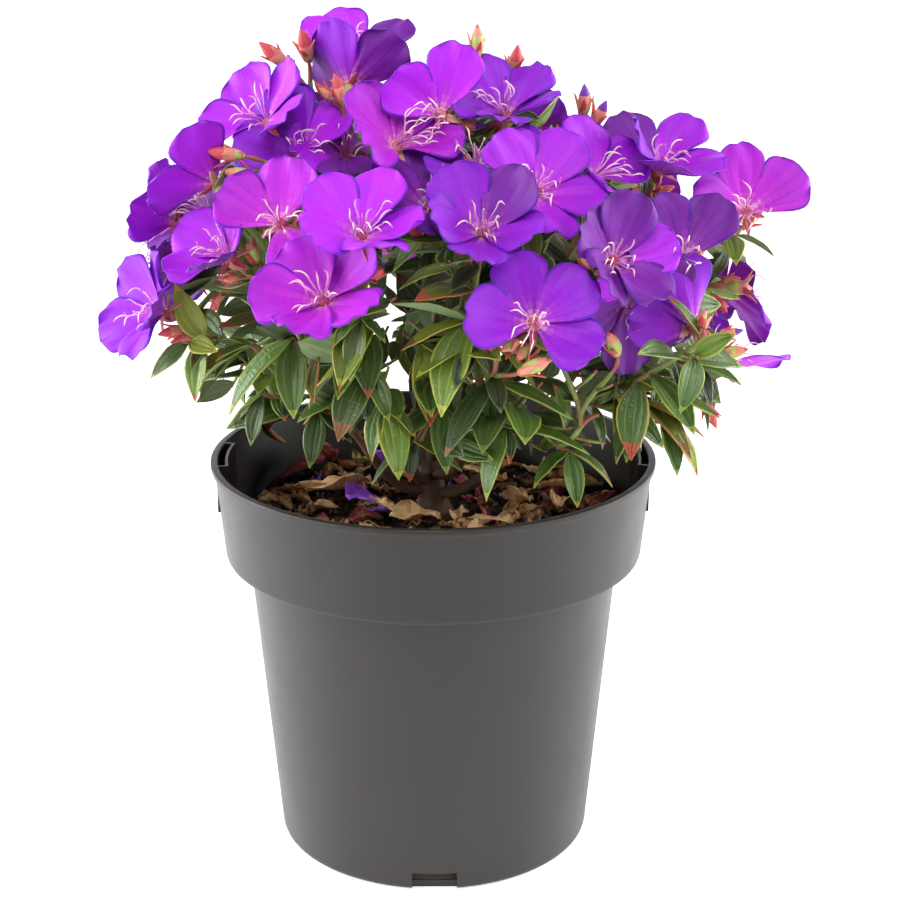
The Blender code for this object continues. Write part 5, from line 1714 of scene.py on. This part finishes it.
# The sheet glows with painted light. Its emission is full under and behind the plant and
# fades to none towards the viewer, so the front of the pot mirrors a dimmer floor than its
# foot does.
PAINTED_GLOW_FROM, PAINTED_GLOW_FULL = -0.42, -0.12
away = add(paper, "SeparateXYZ", {"Vector": add(paper, "NewGeometry").outputs["Position"]}).outputs["Y"]
span = {"Value": away, "From Min": PAINTED_GLOW_FROM, "From Max": PAINTED_GLOW_FULL, "To Min": 0.0, "To Max": 0.45}
painted_glow = add(paper, "MapRange", span, interpolation_type="SMOOTHSTEP").outputs["Result"]
paper.node_tree.links.new(painted_glow, paper.node_tree.nodes["Principled BSDF"].inputs["Emission Strength"])
emboss(paper, grain(paper, 1.2, 2.0), 0.02)
t = np.linspace(0, math.pi / 2, 24)
sweep_y = np.concatenate([[-1100], 1500 + 900 * np.sin(t), [2400]])
sweep_z = np.concatenate([[0], 900 - 900 * np.cos(t), [3600]])
rows = [[(x, y, z) for x in (-3500, 3500)] for y, z in zip(sweep_y, sweep_z)]
verts = [p for row in rows for p in row]
quads = [(2 * k, 2 * k + 1, 2 * k + 3, 2 * k + 2) for k in range(len(rows) - 1)]
floor = solid_mesh("sweep", verts, quads)
floor.data.materials.append(paper)
floor.data.shade_smooth()

world = bpy.data.worlds.new("studio")
bpy.context.scene.world = world
world.use_nodes = True
world.node_tree.nodes["Background"].inputs["Color"].default_value = (1.0, 1.0, 1.0, 1.0)
world.node_tree.nodes["Background"].inputs["Strength"].default_value = 0.16


def lamp(name, place, look_at, width, height, watts):
    """A soft box: a large flat lamp that faces the plant."""
    data = bpy.data.lights.new(name, "AREA")
    data.shape, data.size, data.size_y, data.energy = "RECTANGLE", width, height, watts
    box_lamp = bpy.data.objects.new(name, data)
    bpy.context.scene.collection.objects.link(box_lamp)
    box_lamp.location = place
    box_lamp.rotation_euler = (Vector(look_at) - Vector(place)).to_track_quat("-Z", "Y").to_euler()


# Two large lamps at the sides and two narrower ones further forward draw a sheen down the
# pot, and two higher ones in front light the blossom and the mix under it.
lamp("lamp_left", (-1.35, 0.16, 0.6), (0, 0, 0.16), 0.9, 1.1, 30)
lamp("lamp_right", (1.35, 0.2, 0.6), (0, 0, 0.16), 0.9, 1.1, 26)
lamp("lamp_front_left", (-1.15, -0.75, 0.5), (0, 0, 0.15), 0.5, 0.9, 8)
lamp("lamp_front_right", (1.15, -0.75, 0.5), (0, 0, 0.15), 0.5, 0.9, 5)
lamp("lamp_front", (0.3, -1.5, 1.4), (0, 0, 0.2), 0.6, 0.6, 12)
lamp("lamp_top", (-0.2, -0.8, 1.9), (0, 0, 0.25), 0.9, 0.9, 16)

view = bpy.data.cameras.new("camera")
view.lens, view.sensor_width, view.sensor_fit = 78.83, 36.0, "HORIZONTAL"
camera = bpy.data.objects.new("camera", view)
bpy.context.scene.collection.objects.link(camera)
camera.location = (0.0, -0.8442, 0.463)
camera.rotation_euler = (math.pi / 2 - 0.3199, 0.0, -0.0089)
bpy.context.scene.camera = camera
bpy.context.scene.view_settings.view_transform = "Standard"
